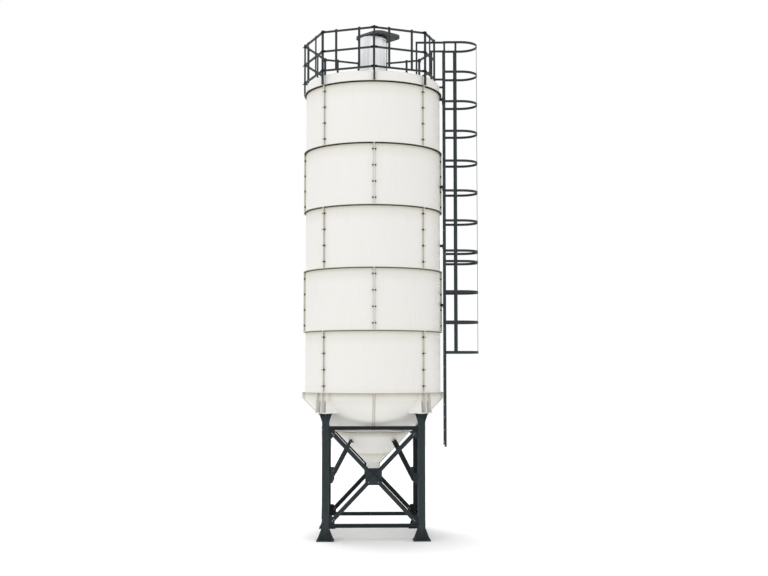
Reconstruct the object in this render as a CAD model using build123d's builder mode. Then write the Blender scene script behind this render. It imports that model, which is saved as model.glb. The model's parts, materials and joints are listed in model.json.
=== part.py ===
"""Cement silo on four legs: bolted shell, hopper, support frame, ladder with cage, roof guard rail."""
from build123d import *
from math import atan2, cos, degrees, hypot, radians, sin, sqrt, tan
import os

os.makedirs("parts", exist_ok=True)

# Shell
SHELL_RADIUS = 1500.0
SHELL_WALL = 4.0
TIER_HEIGHT = 1330.0
TIER_COUNT = 5
HOPPER_RING_Z = 3110.0
RING_FLANGE = 48.0
SEAM_FLANGE = 46.0
FLANGE_PLATE = 8.0
PANEL_SWEEP = 90

# Roof
ROOF_SKIRT = 180.0
ROOF_KNUCKLE = 55.0
ROOF_SLOPE = 12.0

# Hopper
HOPPER_RING_FLANGE = 64.0
HOPPER_SKIRT = 152.0
HOPPER_SLOPE = 46.0
HOPPER_JOINT_SHARE = 0.487
HOPPER_JOINT_FLANGE = 52.0
HOPPER_RIB = 28.0
HOPPER_RIB_SHOULDER = 130.0
OUTLET_RADIUS = 141.0
OUTLET_COLLAR = 100.0
OUTLET_WALL = 6.0
OUTLET_FLANGE = 46.0
OUTLET_FLANGE_PLATE = 12.0
OUTLET_BOLTS = 8
OUTLET_BOLT_HOLE = 14.0

# Legs and the consoles that stand on them
LEG_INSET = 57.5
LEG_SIZE = 150.0
FOOT_SIZE = 370.0
FOOT_PLATE = 22.0
FOOT_GUSSET = 250.0
ANCHOR_HOLE = 27.0
ANCHOR_SPACING = 280.0
HEAD_SIZE = 290.0
HEAD_PLATE = 15.0
HEAD_GUSSET = 168.0
HEAD_GUSSET_WIDTH = 262.0
LEG_GUSSET_PLATE = 12.0
CONSOLE_DROP = 435.0
CONSOLE_SIZE = 350.0
CONSOLE_PLATE = 20.0
CONSOLE_RIB = 16.0
CONSOLE_REACH = 95.0
DOUBLER_PLATE = 6.0
DOUBLER_SWEEP = 20.0
DOUBLER_DROP = 45.0

# Frame between the legs
BEAM_SIZE = 78.0
TOP_BEAM_DROP = 308.0
BOTTOM_BEAM_Z = 314.0
BRACE_WIDTH = 92.0
BRACE_PLATE = 8.0
BRACE_CENTRE_PLATE = 356.0
CORNER_PLATE_WIDTH = 122.0
CORNER_PLATE_HEIGHT = 180.0
CORNER_PLATE_NOSE = 64.0
BRACE_END_INSET = 91.0
STRUT_WIDTH = 76.0
STRUT_PLATE = 7.0
STRUT_FOOT_Z = 1290.0
STRUT_HEAD_DROP = 225.0
STRUT_HEAD_REACH = 78.0
STRUT_HEAD_PLATE = 24.0
STRUT_HEAD_RISE = 48.0
STRUT_BRACKET = 200.0
STRUT_BRACKET_REACH = 160.0
STRUT_BRACKET_SHOULDER = 96.0
STRUT_FOOT_REACH = 88.0

# Ladder and cage, square to a radius LADDER_TURN degrees away from the X axis
LADDER_TURN = -2.4
LADDER_STANDOFF = 79.0
LADDER_WIDTH = 760.0
LADDER_FOOT_Z = 1930.0
LADDER_RISE = 1170.0
LADDER_FOOT = 70.0
LADDER_FOOT_PLATE = 8.0
STRINGER_DEPTH = 42.0
STRINGER_WIDTH = 20.0
RUNG_DIAMETER = 26.0
RUNG_PITCH = 280.0
FIRST_RUNG = 60.0
HOOP_BAR = 54.0
HOOP_PLATE = 8.0
HOOP_STRAIGHT = 383.0
UPPER_HOOPS = 8
LOWER_HOOPS = 4
HOOP_PITCH = 668.0
HOOP_GAP = 234.0
HOOPS_PER_GROUP = 3
STRAP_WIDTH = 46.0
STRAP_PLATE = 8.0
SIDE_STRAP_REACH = 271.0
BRACKET_BAR = 56.0
BRACKET_PLATE = 8.0
BRACKET_PAD = 90.0
BRACKET_STUB = 46.0
BRACKET_SHARE = 0.43
BRACKET_DROP = 30.0

# Guard rail round the roof
GUARD_STANDOFF = 40.0
GUARD_DIAGONAL_STANDOFF = 73.0
GUARD_SIDES = 8
GUARD_POST = 38.0
GUARD_BAR = 38.0
GUARD_TOP = 1150.0
GUARD_MIDDLE = 724.0
GUARD_BOTTOM = 304.0
GUARD_END = 0.565
GUARD_NUB = 22.0
BALUSTER_WIDTH = 46.0
BALUSTER_PLATE = 22.0
BALUSTER_SHARES = (0.265, 0.71)
LEFT_BALUSTER_SHARES = (0.38, 0.825)
GUARD_PIN = 24.0
GUARD_PIN_REACH = 54.0
GUARD_PIN_DROP = 27.0
POST_FOOT = 66.0
POST_FOOT_PLATE = 8.0
HAND_RAIL = 40.0
FRONT_HAND_RAIL_REACH = 619.0
REAR_HAND_RAIL_REACH = 279.0
LOWER_HAND_RAIL_REACH = 194.0

# Filter on the roof
FILTER_RADIUS = 300.0
FILTER_WALL = 5.0
FILTER_RISE = 1325.0
FILTER_LEDGE = 12.0
FILTER_LID = 6.0
FILTER_COLLAR = 42.0
FILTER_COLLAR_HEIGHT = 60.0
HOOD_LENGTH = 850.0
HOOD_WIDTH = 760.0
HOOD_CORNER = 180.0
HOOD_THICKNESS = 58.0
HOOD_RIM = 8.0
HOOD_RECESS = 6.0
HOOD_OFFSET = 110.0
HOOD_SET_BACK = 28.0
HOOD_TURN = -49
HOOD_GAP = 22.0
HOOD_POST = 40.0
HOOD_POST_REACH = 190.0
ROD_DIAMETER = 16.0
ROD_STANDOFF = 14.0

CLEARANCE = 0.3

# Worked out from the sizes above
roof_ring_z = HOPPER_RING_Z + TIER_COUNT * TIER_HEIGHT
console_z = HOPPER_RING_Z - CONSOLE_DROP
top_beam_z = console_z - TOP_BEAM_DROP
ladder_top_z = roof_ring_z + LADDER_RISE
filter_top_z = roof_ring_z + FILTER_RISE
hopper_cone_top_z = HOPPER_RING_Z - HOPPER_SKIRT
outlet_top_z = hopper_cone_top_z - (SHELL_RADIUS - OUTLET_RADIUS) * tan(radians(HOPPER_SLOPE))
outlet_bottom_z = outlet_top_z - OUTLET_COLLAR
hopper_joint_z = hopper_cone_top_z - HOPPER_JOINT_SHARE * (hopper_cone_top_z - outlet_top_z)
strut_head_z = hopper_joint_z - STRUT_HEAD_DROP
roof_edge_z = roof_ring_z + ROOF_SKIRT
filter_hole = FILTER_RADIUS - FILTER_WALL - FILTER_LEDGE
stringer_side = LADDER_WIDTH / 2
console_top_z = console_z + CONSOLE_PLATE
leg_top_z = console_z - HEAD_PLATE
hoop_top_z = ladder_top_z - HOOP_BAR / 2
leg_offset = (SHELL_RADIUS - LEG_INSET) / sqrt(2)
ladder_radius = SHELL_RADIUS + LADDER_STANDOFF


def hopper_radius(z):
    """Outer radius of the hopper cone at height z."""
    return SHELL_RADIUS - (hopper_cone_top_z - z) / tan(radians(HOPPER_SLOPE))


def knuckle_inset():
    """How far inside the shell radius the roof knuckle ends."""
    return ROOF_KNUCKLE * (1 - sin(radians(ROOF_SLOPE)))


def roof_height(radius):
    """Height of the roof's top surface at a radius inside the knuckle."""
    knuckle_radius = SHELL_RADIUS - knuckle_inset()
    knuckle_z = roof_edge_z + ROOF_KNUCKLE * cos(radians(ROOF_SLOPE))
    return knuckle_z + (knuckle_radius - radius) * tan(radians(ROOF_SLOPE))


def radial_plane(angle, offset=0.0):
    """Upright plane through the silo axis: local x runs outwards at the angle, local y runs up."""
    a = radians(angle)
    outwards = Vector(cos(a), sin(a), 0)
    sideways = Vector(sin(a), -cos(a), 0)
    return Plane(origin=sideways * offset, x_dir=outwards, z_dir=sideways)


def level_plane(angle, z):
    """Level plane at height z whose local x runs outwards at the angle."""
    a = radians(angle)
    return Plane(origin=(0, 0, z), x_dir=(cos(a), sin(a), 0), z_dir=(0, 0, 1))


def ring_sector(inner, outer, start, sweep):
    """Face of a ring between two radii over an arc."""
    with BuildSketch(Plane.XY) as sector:
        with BuildLine():
            inside = CenterArc((0, 0), inner, start, sweep)
            outside = CenterArc((0, 0), outer, start, sweep)
            Line(inside @ 0, outside @ 0)
            Line(inside @ 1, outside @ 1)
        make_face()
    return sector.sketch


def save(piece, name):
    """Label a finished piece and write it."""
    piece.label = name
    export_step(piece, f"parts/{name}.step")


def shell_panel(z_low, start, sweep):
    """Curved sheet with a flange along each of its four edges."""
    sheet = ring_sector(SHELL_RADIUS - SHELL_WALL, SHELL_RADIUS, start, sweep)
    flange = ring_sector(SHELL_RADIUS - SHELL_WALL, SHELL_RADIUS + RING_FLANGE, start, sweep)
    with BuildPart() as panel:
        with BuildSketch(Plane.XY.offset(z_low)):
            add(sheet)
        extrude(amount=TIER_HEIGHT)
        for flange_z in (z_low, z_low + TIER_HEIGHT - FLANGE_PLATE):
            with BuildSketch(Plane.XY.offset(flange_z)):
                add(flange)
            extrude(amount=FLANGE_PLATE)
        for angle, side in ((start, 1), (start + sweep, -1)):
            with BuildSketch(level_plane(angle, z_low)):
                with Locations((SHELL_RADIUS + (SEAM_FLANGE - SHELL_WALL) / 2, side * FLANGE_PLATE / 2)):
                    Rectangle(SEAM_FLANGE + SHELL_WALL, FLANGE_PLATE)
            extrude(amount=TIER_HEIGHT)
    return panel.part


# Shell: opposite panels of a tier share a node, seams turn by 45 degrees from tier to tier
ALONG = {"front_and_back": 225, "left_and_right": 315}
ACROSS = {"front_right_and_back_left": 270, "front_left_and_back_right": 180}
for tier in range(TIER_COUNT):
    tier_z = HOPPER_RING_Z + tier * TIER_HEIGHT
    pairs = ALONG if tier % 2 == 0 else ACROSS
    for place, start_angle in pairs.items():
        panel_pair = [shell_panel(tier_z, start, PANEL_SWEEP) for start in (start_angle, start_angle + 180)]
        with BuildPart() as panels:
            add(panel_pair)
        save(panels.part, f"tier_{tier + 1}_{place}_panels")


def roof_sector(start):
    """Quarter of the roof: skirt, rounded knuckle, low cone and its part of the ring flange."""
    knuckle_centre = (SHELL_RADIUS - ROOF_KNUCKLE, roof_edge_z)
    flange = ring_sector(SHELL_RADIUS - SHELL_WALL, SHELL_RADIUS + RING_FLANGE, start, PANEL_SWEEP)
    with BuildPart() as sector:
        with BuildSketch(radial_plane(start)):
            with BuildLine():
                skirt = Line((SHELL_RADIUS, roof_ring_z), (SHELL_RADIUS, roof_edge_z))
                knuckle = CenterArc(knuckle_centre, ROOF_KNUCKLE, 0, 90 - ROOF_SLOPE)
                cone = Line(knuckle @ 1, (filter_hole, roof_height(filter_hole)))
                rim = Line(cone @ 1, (filter_hole, roof_height(filter_hole) - SHELL_WALL))
                under_knuckle = CenterArc(
                    knuckle_centre, ROOF_KNUCKLE - SHELL_WALL, 0, 90 - ROOF_SLOPE
                )
                Line(rim @ 1, under_knuckle @ 1)
                Polyline(under_knuckle @ 0, (SHELL_RADIUS - SHELL_WALL, roof_ring_z), skirt @ 0)
            make_face()
        revolve(axis=Axis.Z, revolution_arc=PANEL_SWEEP)
        with BuildSketch(Plane.XY.offset(roof_ring_z)):
            add(flange)
        extrude(amount=FLANGE_PLATE)
    return sector.part


# Roof: four sectors over the panels of the top tier
for place, start_angle in ALONG.items():
    sector_pair = [roof_sector(start) for start in (start_angle, start_angle + 180)]
    with BuildPart() as roof:
        add(sector_pair)
    save(roof.part, f"roof_{place}_sectors")

# Hopper, upper course: skirt and cone plates with ribs on their seams
joint_radius = hopper_radius(hopper_joint_z)
slope_wall = SHELL_WALL / sin(radians(HOPPER_SLOPE))


def hopper_plate(start):
    """Quarter of the upper hopper, with ring flange, joint flange and seam ribs."""
    ring = ring_sector(SHELL_RADIUS - SHELL_WALL, SHELL_RADIUS + HOPPER_RING_FLANGE, start, PANEL_SWEEP)
    joint = ring_sector(joint_radius - slope_wall / 2, joint_radius + HOPPER_JOINT_FLANGE, start, PANEL_SWEEP)
    with BuildPart() as plate:
        with BuildSketch(radial_plane(start)):
            with BuildLine():
                Polyline(
                    (SHELL_RADIUS, HOPPER_RING_Z),
                    (SHELL_RADIUS, hopper_cone_top_z),
                    (joint_radius, hopper_joint_z),
                    (joint_radius - slope_wall, hopper_joint_z),
                    (SHELL_RADIUS - SHELL_WALL, hopper_cone_top_z + SHELL_WALL / 2),
                    (SHELL_RADIUS - SHELL_WALL, HOPPER_RING_Z),
                    close=True,
                )
            make_face()
        revolve(axis=Axis.Z, revolution_arc=PANEL_SWEEP)
        with BuildSketch(Plane.XY.offset(HOPPER_RING_Z - FLANGE_PLATE)):
            add(ring)
        extrude(amount=FLANGE_PLATE)
        with BuildSketch(Plane.XY.offset(hopper_joint_z)):
            add(joint)
        extrude(amount=FLANGE_PLATE)
        for angle, side in ((start, -1), (start + PANEL_SWEEP, 1)):
            with BuildSketch(radial_plane(angle)):
                with BuildLine():
                    Polyline(
                        (SHELL_RADIUS - SHELL_WALL / 2, HOPPER_RING_Z),
                        (SHELL_RADIUS + HOPPER_RING_FLANGE, HOPPER_RING_Z),
                        (SHELL_RADIUS + HOPPER_RING_FLANGE, HOPPER_RING_Z - HOPPER_RIB_SHOULDER),
                        (joint_radius + HOPPER_RIB, hopper_joint_z),
                        (joint_radius - slope_wall / 2, hopper_joint_z),
                        (SHELL_RADIUS - SHELL_WALL / 2, hopper_cone_top_z),
                        close=True,
                    )
                make_face()
            extrude(amount=side * FLANGE_PLATE)
    return plate.part


for place, start_angle in ACROSS.items():
    plate_pair = [hopper_plate(start) for start in (start_angle, start_angle + 180)]
    with BuildPart() as hopper:
        add(plate_pair)
    save(hopper.part, f"hopper_{place}_plates")

# Hopper, lower cone
with BuildPart() as lower_cone:
    with BuildSketch(Plane.XZ):
        with BuildLine():
            Polyline(
                (joint_radius + HOPPER_JOINT_FLANGE, hopper_joint_z),
                (joint_radius + HOPPER_JOINT_FLANGE, hopper_joint_z - FLANGE_PLATE),
                (hopper_radius(hopper_joint_z - FLANGE_PLATE), hopper_joint_z - FLANGE_PLATE),
                (OUTLET_RADIUS, outlet_top_z),
                (OUTLET_RADIUS - OUTLET_WALL, outlet_top_z),
                (joint_radius - slope_wall, hopper_joint_z),
                close=True,
            )
        make_face()
    revolve(axis=Axis.Z)
save(lower_cone.part, "hopper_lower_cone")

# Outlet collar with its bolted flange
with BuildPart() as outlet:
    with BuildSketch(Plane.XY.offset(outlet_bottom_z)):
        Circle(OUTLET_RADIUS)
        Circle(OUTLET_RADIUS - OUTLET_WALL, mode=Mode.SUBTRACT)
    extrude(amount=OUTLET_COLLAR)
    with BuildSketch(Plane.XY.offset(outlet_bottom_z)):
        Circle(OUTLET_RADIUS + OUTLET_FLANGE)
        Circle(OUTLET_RADIUS - OUTLET_WALL, mode=Mode.SUBTRACT)
        with PolarLocations(OUTLET_RADIUS + OUTLET_FLANGE / 2, OUTLET_BOLTS):
            Circle(OUTLET_BOLT_HOLE / 2, mode=Mode.SUBTRACT)
    extrude(amount=OUTLET_FLANGE_PLATE)
save(outlet.part, "outlet_collar")

# Outside of the hopper and of the roof as solids, to trim what stands against them
with BuildPart() as hopper_outside:
    with BuildSketch(Plane.XZ):
        with BuildLine():
            Polyline(
                (0, outlet_top_z),
                (OUTLET_RADIUS + CLEARANCE, outlet_top_z),
                (SHELL_RADIUS + CLEARANCE, hopper_cone_top_z),
                (SHELL_RADIUS + CLEARANCE, HOPPER_RING_Z),
                (0, HOPPER_RING_Z),
                close=True,
            )
        make_face()
    revolve(axis=Axis.Z)
with BuildPart() as roof_outside:
    with BuildSketch(Plane.XZ):
        with BuildLine():
            outer = SHELL_RADIUS + RING_FLANGE
            Polyline(
                (0, roof_ring_z - TIER_HEIGHT / 2),
                (outer, roof_ring_z - TIER_HEIGHT / 2),
                (outer, roof_height(outer) + CLEARANCE),
                (0, roof_height(0) + CLEARANCE),
                close=True,
            )
        make_face()
    revolve(axis=Axis.Z)

# Consoles: level plate with three upright ribs, on a doubler that lies on the cone, one over each leg
rib_top_z = HOPPER_RING_Z - FLANGE_PLATE
rib_step = (CONSOLE_SIZE - CONSOLE_RIB) / 2
console_inner = hopper_radius(console_z) - 2 * CONSOLE_RIB
console_outer = SHELL_RADIUS + CONSOLE_REACH
doubler_z = console_z - DOUBLER_DROP
doubler_wall = DOUBLER_PLATE / sin(radians(HOPPER_SLOPE))
DIAGONALS = (45, 135, 225, 315)
with BuildPart() as consoles:
    for angle in DIAGONALS:
        with BuildSketch(radial_plane(angle - DOUBLER_SWEEP / 2)):
            with BuildLine():
                Polyline(
                    (hopper_radius(doubler_z) - DOUBLER_PLATE, doubler_z),
                    (hopper_radius(doubler_z) + doubler_wall, doubler_z),
                    (SHELL_RADIUS + doubler_wall, hopper_cone_top_z),
                    (SHELL_RADIUS - DOUBLER_PLATE, hopper_cone_top_z),
                    close=True,
                )
            make_face()
        revolve(axis=Axis.Z, revolution_arc=DOUBLER_SWEEP)
        with BuildSketch(level_plane(angle, console_z)):
            with Locations(((console_inner + console_outer) / 2, 0)):
                Rectangle(console_outer - console_inner, CONSOLE_SIZE)
        extrude(amount=CONSOLE_PLATE)
        for rib in (-1, 0, 1):
            with BuildSketch(radial_plane(angle, rib * rib_step - CONSOLE_RIB / 2)):
                with BuildLine():
                    Polyline(
                        (console_inner, console_top_z),
                        (console_outer, console_top_z),
                        (SHELL_RADIUS + HOPPER_RING_FLANGE, rib_top_z),
                        (SHELL_RADIUS - RING_FLANGE / 2, rib_top_z),
                        close=True,
                    )
                make_face()
            extrude(amount=CONSOLE_RIB)
    add(hopper_outside.part, mode=Mode.SUBTRACT)
save(consoles.part, "leg_consoles")

# One leg about its own axis, then the four legs, each turned so that its strut bracket faces inwards
leg_corner = LEG_SIZE / sqrt(2)
flush = (LEG_SIZE - LEG_GUSSET_PLATE) / 2
foot_gusset = (FOOT_PLATE, FOOT_PLATE + FOOT_GUSSET, FOOT_SIZE - 2 * LEG_GUSSET_PLATE)
head_gusset = (leg_top_z, leg_top_z - HEAD_GUSSET, HEAD_GUSSET_WIDTH)
with BuildPart() as leg:
    with BuildSketch():
        Rectangle(FOOT_SIZE, FOOT_SIZE)
        with GridLocations(ANCHOR_SPACING, ANCHOR_SPACING, 2, 2):
            Circle(ANCHOR_HOLE / 2, mode=Mode.SUBTRACT)
    extrude(amount=FOOT_PLATE)
    with BuildSketch(Plane.XY.offset(FOOT_PLATE)):
        Rectangle(LEG_SIZE, LEG_SIZE)
    extrude(amount=leg_top_z - FOOT_PLATE)
    with BuildSketch(Plane.XY.offset(leg_top_z)):
        Rectangle(HEAD_SIZE, HEAD_SIZE)
    extrude(amount=HEAD_PLATE)
    for turn in (0, 90):
        for side in (-1, 1):
            for z_wide, z_narrow, wide in (foot_gusset, head_gusset):
                upright = Plane.XZ.rotated((0, 0, turn))
                with BuildSketch(upright.offset(side * flush - LEG_GUSSET_PLATE / 2)):
                    with BuildLine():
                        Polyline(
                            (-wide / 2, z_wide),
                            (wide / 2, z_wide),
                            (LEG_SIZE / 2, z_narrow),
                            (-LEG_SIZE / 2, z_narrow),
                            close=True,
                        )
                    make_face()
                extrude(amount=LEG_GUSSET_PLATE)
    with BuildSketch(radial_plane(45, -STRUT_PLATE / 2)):
        with BuildLine():
            Polyline(
                (leg_corner - STRUT_PLATE, STRUT_FOOT_Z - STRUT_BRACKET / 2),
                (leg_corner + STRUT_BRACKET_SHOULDER, STRUT_FOOT_Z - STRUT_BRACKET / 2),
                (leg_corner + STRUT_BRACKET_REACH, STRUT_FOOT_Z),
                (leg_corner + STRUT_BRACKET_SHOULDER, STRUT_FOOT_Z + STRUT_BRACKET / 2),
                (leg_corner - STRUT_PLATE, STRUT_FOOT_Z + STRUT_BRACKET / 2),
                close=True,
            )
        make_face()
    extrude(amount=STRUT_PLATE)

leg_places = {
    "back_right_leg": (1, 1, 180),
    "back_left_leg": (-1, 1, 270),
    "front_left_leg": (-1, -1, 0),
    "front_right_leg": (1, -1, 90),
}
for name, (x_side, y_side, turn) in leg_places.items():
    save(leg.part.moved(Location((x_side * leg_offset, y_side * leg_offset, 0), (0, 0, turn))), name)

# Level beams between the legs, flush with the legs' outer faces
beam_length = 2 * leg_offset - LEG_SIZE
beam_line = leg_offset + (LEG_SIZE - BEAM_SIZE) / 2
for name, beam_z in (("top_beams", top_beam_z), ("bottom_beams", BOTTOM_BEAM_Z)):
    with BuildPart() as beams:
        with BuildSketch(Plane.XY.offset(beam_z - BEAM_SIZE / 2)):
            with Locations((0, beam_line), (0, -beam_line)):
                Rectangle(beam_length, BEAM_SIZE)
            with Locations((beam_line, 0), (-beam_line, 0)):
                Rectangle(BEAM_SIZE, beam_length)
        extrude(amount=BEAM_SIZE)
    save(beams.part, name)

# Cross braces: corner plates in the plane of the beams, angle bars on their outer side
inner_face = leg_offset - LEG_SIZE / 2
opening_top = top_beam_z - BEAM_SIZE / 2
opening_bottom = BOTTOM_BEAM_Z + BEAM_SIZE / 2
brace_centre_z = (opening_top + opening_bottom) / 2
brace_x = inner_face - BRACE_END_INSET
brace_rise = opening_top - BRACE_END_INSET - brace_centre_z
brace_lean = degrees(atan2(brace_rise, brace_x))
brace_length = 2 * hypot(brace_x, brace_rise) + BRACE_WIDTH


def cross_brace(turn):
    """One side of the frame: corner plates, crossing angle bars and the plate at the crossing."""
    side = Plane.XZ.rotated((0, 0, turn))
    outer = side.offset(beam_line + BRACE_PLATE / 2)
    with BuildPart() as brace:
        with BuildSketch(side.offset(beam_line - BRACE_PLATE / 2)):
            for x_side in (-1, 1):
                for edge, way in ((opening_top, -1), (opening_bottom, 1)):
                    with BuildLine():
                        Polyline(
                            (x_side * inner_face, edge),
                            (x_side * (inner_face - CORNER_PLATE_WIDTH), edge),
                            (x_side * (inner_face - CORNER_PLATE_WIDTH), edge + way * CORNER_PLATE_NOSE),
                            (x_side * (inner_face - CORNER_PLATE_NOSE), edge + way * CORNER_PLATE_HEIGHT),
                            (x_side * inner_face, edge + way * CORNER_PLATE_HEIGHT),
                            close=True,
                        )
                    make_face()
            with Locations((0, brace_centre_z)):
                Rectangle(BRACE_CENTRE_PLATE, BRACE_CENTRE_PLATE)
        extrude(amount=BRACE_PLATE)
        for lean in (brace_lean, -brace_lean):
            with BuildSketch(outer):
                with Locations(Location((0, brace_centre_z), lean)):
                    Rectangle(brace_length, BRACE_WIDTH)
            extrude(amount=BRACE_PLATE)
            with BuildSketch(outer):
                with Locations(Location((0, brace_centre_z), lean)):
                    with Locations((0, (BRACE_WIDTH - BRACE_PLATE) / 2)):
                        Rectangle(brace_length, BRACE_PLATE)
            extrude(amount=BRACE_WIDTH / 2)
    return brace.part


for name, turns in {"front_and_back_braces": (0, 180), "side_braces": (90, 270)}.items():
    brace_pair = [cross_brace(turn) for turn in turns]
    with BuildPart() as braces:
        add(brace_pair)
    save(braces.part, name)

# Struts from the legs up to the lower cone, in the planes of the legs
strut_foot = leg_offset * sqrt(2) - leg_corner - STRUT_FOOT_REACH
strut_head = hopper_radius(strut_head_z) + STRUT_HEAD_REACH
strut_rise = strut_head_z - STRUT_FOOT_Z
strut_lean = degrees(atan2(strut_rise, strut_head - strut_foot))
strut_length = hypot(strut_rise, strut_head - strut_foot) + STRUT_WIDTH
strut_middle = ((strut_foot + strut_head) / 2, (STRUT_FOOT_Z + strut_head_z) / 2)
head_low = strut_head_z - STRUT_HEAD_PLATE
head_high = strut_head_z + STRUT_HEAD_RISE
with BuildPart() as struts:
    for angle in DIAGONALS:
        for reach, offset in ((STRUT_WIDTH, 0), (STRUT_PLATE, (STRUT_WIDTH - STRUT_PLATE) / 2)):
            with BuildSketch(radial_plane(angle, STRUT_PLATE / 2)):
                with Locations(Location(strut_middle, strut_lean)):
                    with Locations((0, offset)):
                        Rectangle(strut_length, reach)
            extrude(amount=STRUT_PLATE if offset == 0 else STRUT_WIDTH)
        with BuildSketch(radial_plane(angle, -STRUT_PLATE / 2)):
            with BuildLine():
                Polyline(
                    (hopper_radius(head_low) - STRUT_PLATE, head_low),
                    (strut_head + STRUT_HEAD_PLATE, head_low),
                    (strut_head + STRUT_HEAD_PLATE, strut_head_z),
                    (hopper_radius(head_high) + STRUT_PLATE, head_high),
                    (hopper_radius(head_high) - STRUT_PLATE, head_high),
                    close=True,
                )
            make_face()
        extrude(amount=STRUT_PLATE)
    add(hopper_outside.part, mode=Mode.SUBTRACT)
save(struts.part, "hopper_struts")

# Ladder in two sections: stringers and rungs welded together
rung_radius = ladder_radius + STRINGER_DEPTH / 2
rung_count = int((ladder_top_z - LADDER_FOOT_Z - 2 * FIRST_RUNG) / RUNG_PITCH) + 1
rung_heights = [LADDER_FOOT_Z + FIRST_RUNG + i * RUNG_PITCH for i in range(rung_count)]
lower_top_z = hoop_top_z - (UPPER_HOOPS - 1) * HOOP_PITCH - HOOP_GAP
ladder_split_z = lower_top_z + HOOP_GAP / 2
ladder_sections = {
    "ladder_lower_section": (LADDER_FOOT_Z, ladder_split_z),
    "ladder_upper_section": (ladder_split_z, ladder_top_z),
}
for name, (low, high) in ladder_sections.items():
    with BuildPart() as ladder:
        with BuildSketch(level_plane(LADDER_TURN, low)):
            for side in (-1, 1):
                with Locations((rung_radius, side * (stringer_side - STRINGER_WIDTH / 2))):
                    Rectangle(STRINGER_DEPTH, STRINGER_WIDTH)
        extrude(amount=high - low)
        with BuildSketch(radial_plane(LADDER_TURN)):
            with Locations(*[(rung_radius, z) for z in rung_heights if low < z < high]):
                Circle(RUNG_DIAMETER / 2)
        extrude(amount=stringer_side - STRINGER_WIDTH / 2, both=True)
        if low == LADDER_FOOT_Z:
            with BuildSketch(level_plane(LADDER_TURN, low)):
                for side in (-1, 1):
                    with Locations((rung_radius, side * (stringer_side - STRINGER_WIDTH / 2))):
                        Rectangle(LADDER_FOOT, LADDER_FOOT - STRINGER_WIDTH)
            extrude(amount=LADDER_FOOT_PLATE)
    save(ladder.part, name)

# Safety cage: hoops on the outer faces of the stringers, straps inside the hoops
hoop_heights = [hoop_top_z - i * HOOP_PITCH for i in range(UPPER_HOOPS)]
hoop_heights += [lower_top_z - i * HOOP_PITCH for i in range(LOWER_HOOPS)]
bend_centre = ladder_radius + HOOP_STRAIGHT
cage_side = stringer_side + HOOP_PLATE


def hoop(z):
    """Flat bar bent to a U and standing on its narrow edge, its ends on the stringers."""
    with BuildPart() as bar:
        with BuildSketch(level_plane(LADDER_TURN, z - HOOP_BAR / 2)):
            with BuildLine():
                outer_bend = CenterArc((bend_centre, 0), cage_side, -90, 180)
                inner_bend = CenterArc((bend_centre, 0), stringer_side, -90, 180)
                for side, end in ((-1, 0), (1, 1)):
                    Polyline(
                        outer_bend @ end,
                        (ladder_radius, side * cage_side),
                        (ladder_radius, side * stringer_side),
                        inner_bend @ end,
                    )
            make_face()
        extrude(amount=HOOP_BAR)
    return bar.part


for first in range(0, len(hoop_heights), HOOPS_PER_GROUP):
    group = [hoop(z) for z in hoop_heights[first:first + HOOPS_PER_GROUP]]
    with BuildPart() as hoops:
        add(group)
    save(hoops.part, f"cage_hoops_{first // HOOPS_PER_GROUP + 1}")

strap_low = hoop_heights[-1] - HOOP_BAR / 2
strap_high = hoop_heights[0] + HOOP_BAR / 2
outer_sag = stringer_side - sqrt(stringer_side**2 - (STRAP_WIDTH / 2) ** 2)
with BuildPart() as straps:
    with BuildSketch(level_plane(LADDER_TURN, strap_low)):
        for side in (-1, 1):
            with Locations((ladder_radius + SIDE_STRAP_REACH, side * (stringer_side - STRAP_PLATE / 2))):
                Rectangle(STRAP_WIDTH, STRAP_PLATE)
        with Locations((bend_centre + stringer_side - outer_sag - STRAP_PLATE / 2, 0)):
            Rectangle(STRAP_PLATE, STRAP_WIDTH)
    extrude(amount=strap_high - strap_low)
save(straps.part, "cage_straps")

# Ladder brackets: a pad and stub on the shell, and two arms that spread to the stringers
bracket_heights = [HOPPER_RING_Z + (tier + BRACKET_SHARE) * TIER_HEIGHT for tier in (1, 2, 3)]
bracket_heights.append(roof_ring_z - FLANGE_PLATE - BRACKET_BAR - BRACKET_DROP)
pad_half = degrees(BRACKET_PAD / 2 / SHELL_RADIUS)
pad = ring_sector(SHELL_RADIUS, SHELL_RADIUS + BRACKET_PLATE, -pad_half, 2 * pad_half)
stub_root = SHELL_RADIUS + BRACKET_PLATE / 2
arm_root = SHELL_RADIUS + RING_FLANGE + BRACKET_PLATE / 2
with BuildPart() as brackets:
    for z in bracket_heights:
        with BuildSketch(level_plane(LADDER_TURN, z)):
            add(pad)
            for side in (-1, 1):
                with BuildLine():
                    Polyline(
                        (stub_root, 0),
                        (stub_root, side * BRACKET_STUB / 2),
                        (arm_root, side * BRACKET_STUB / 2),
                        (ladder_radius - BRACKET_PLATE, side * stringer_side),
                        (ladder_radius, side * stringer_side),
                        (ladder_radius, side * (stringer_side - STRINGER_WIDTH)),
                        (arm_root + 2 * BRACKET_PLATE, 0),
                        close=True,
                    )
                make_face()
        extrude(amount=BRACKET_BAR)
save(brackets.part, "ladder_brackets")

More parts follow.
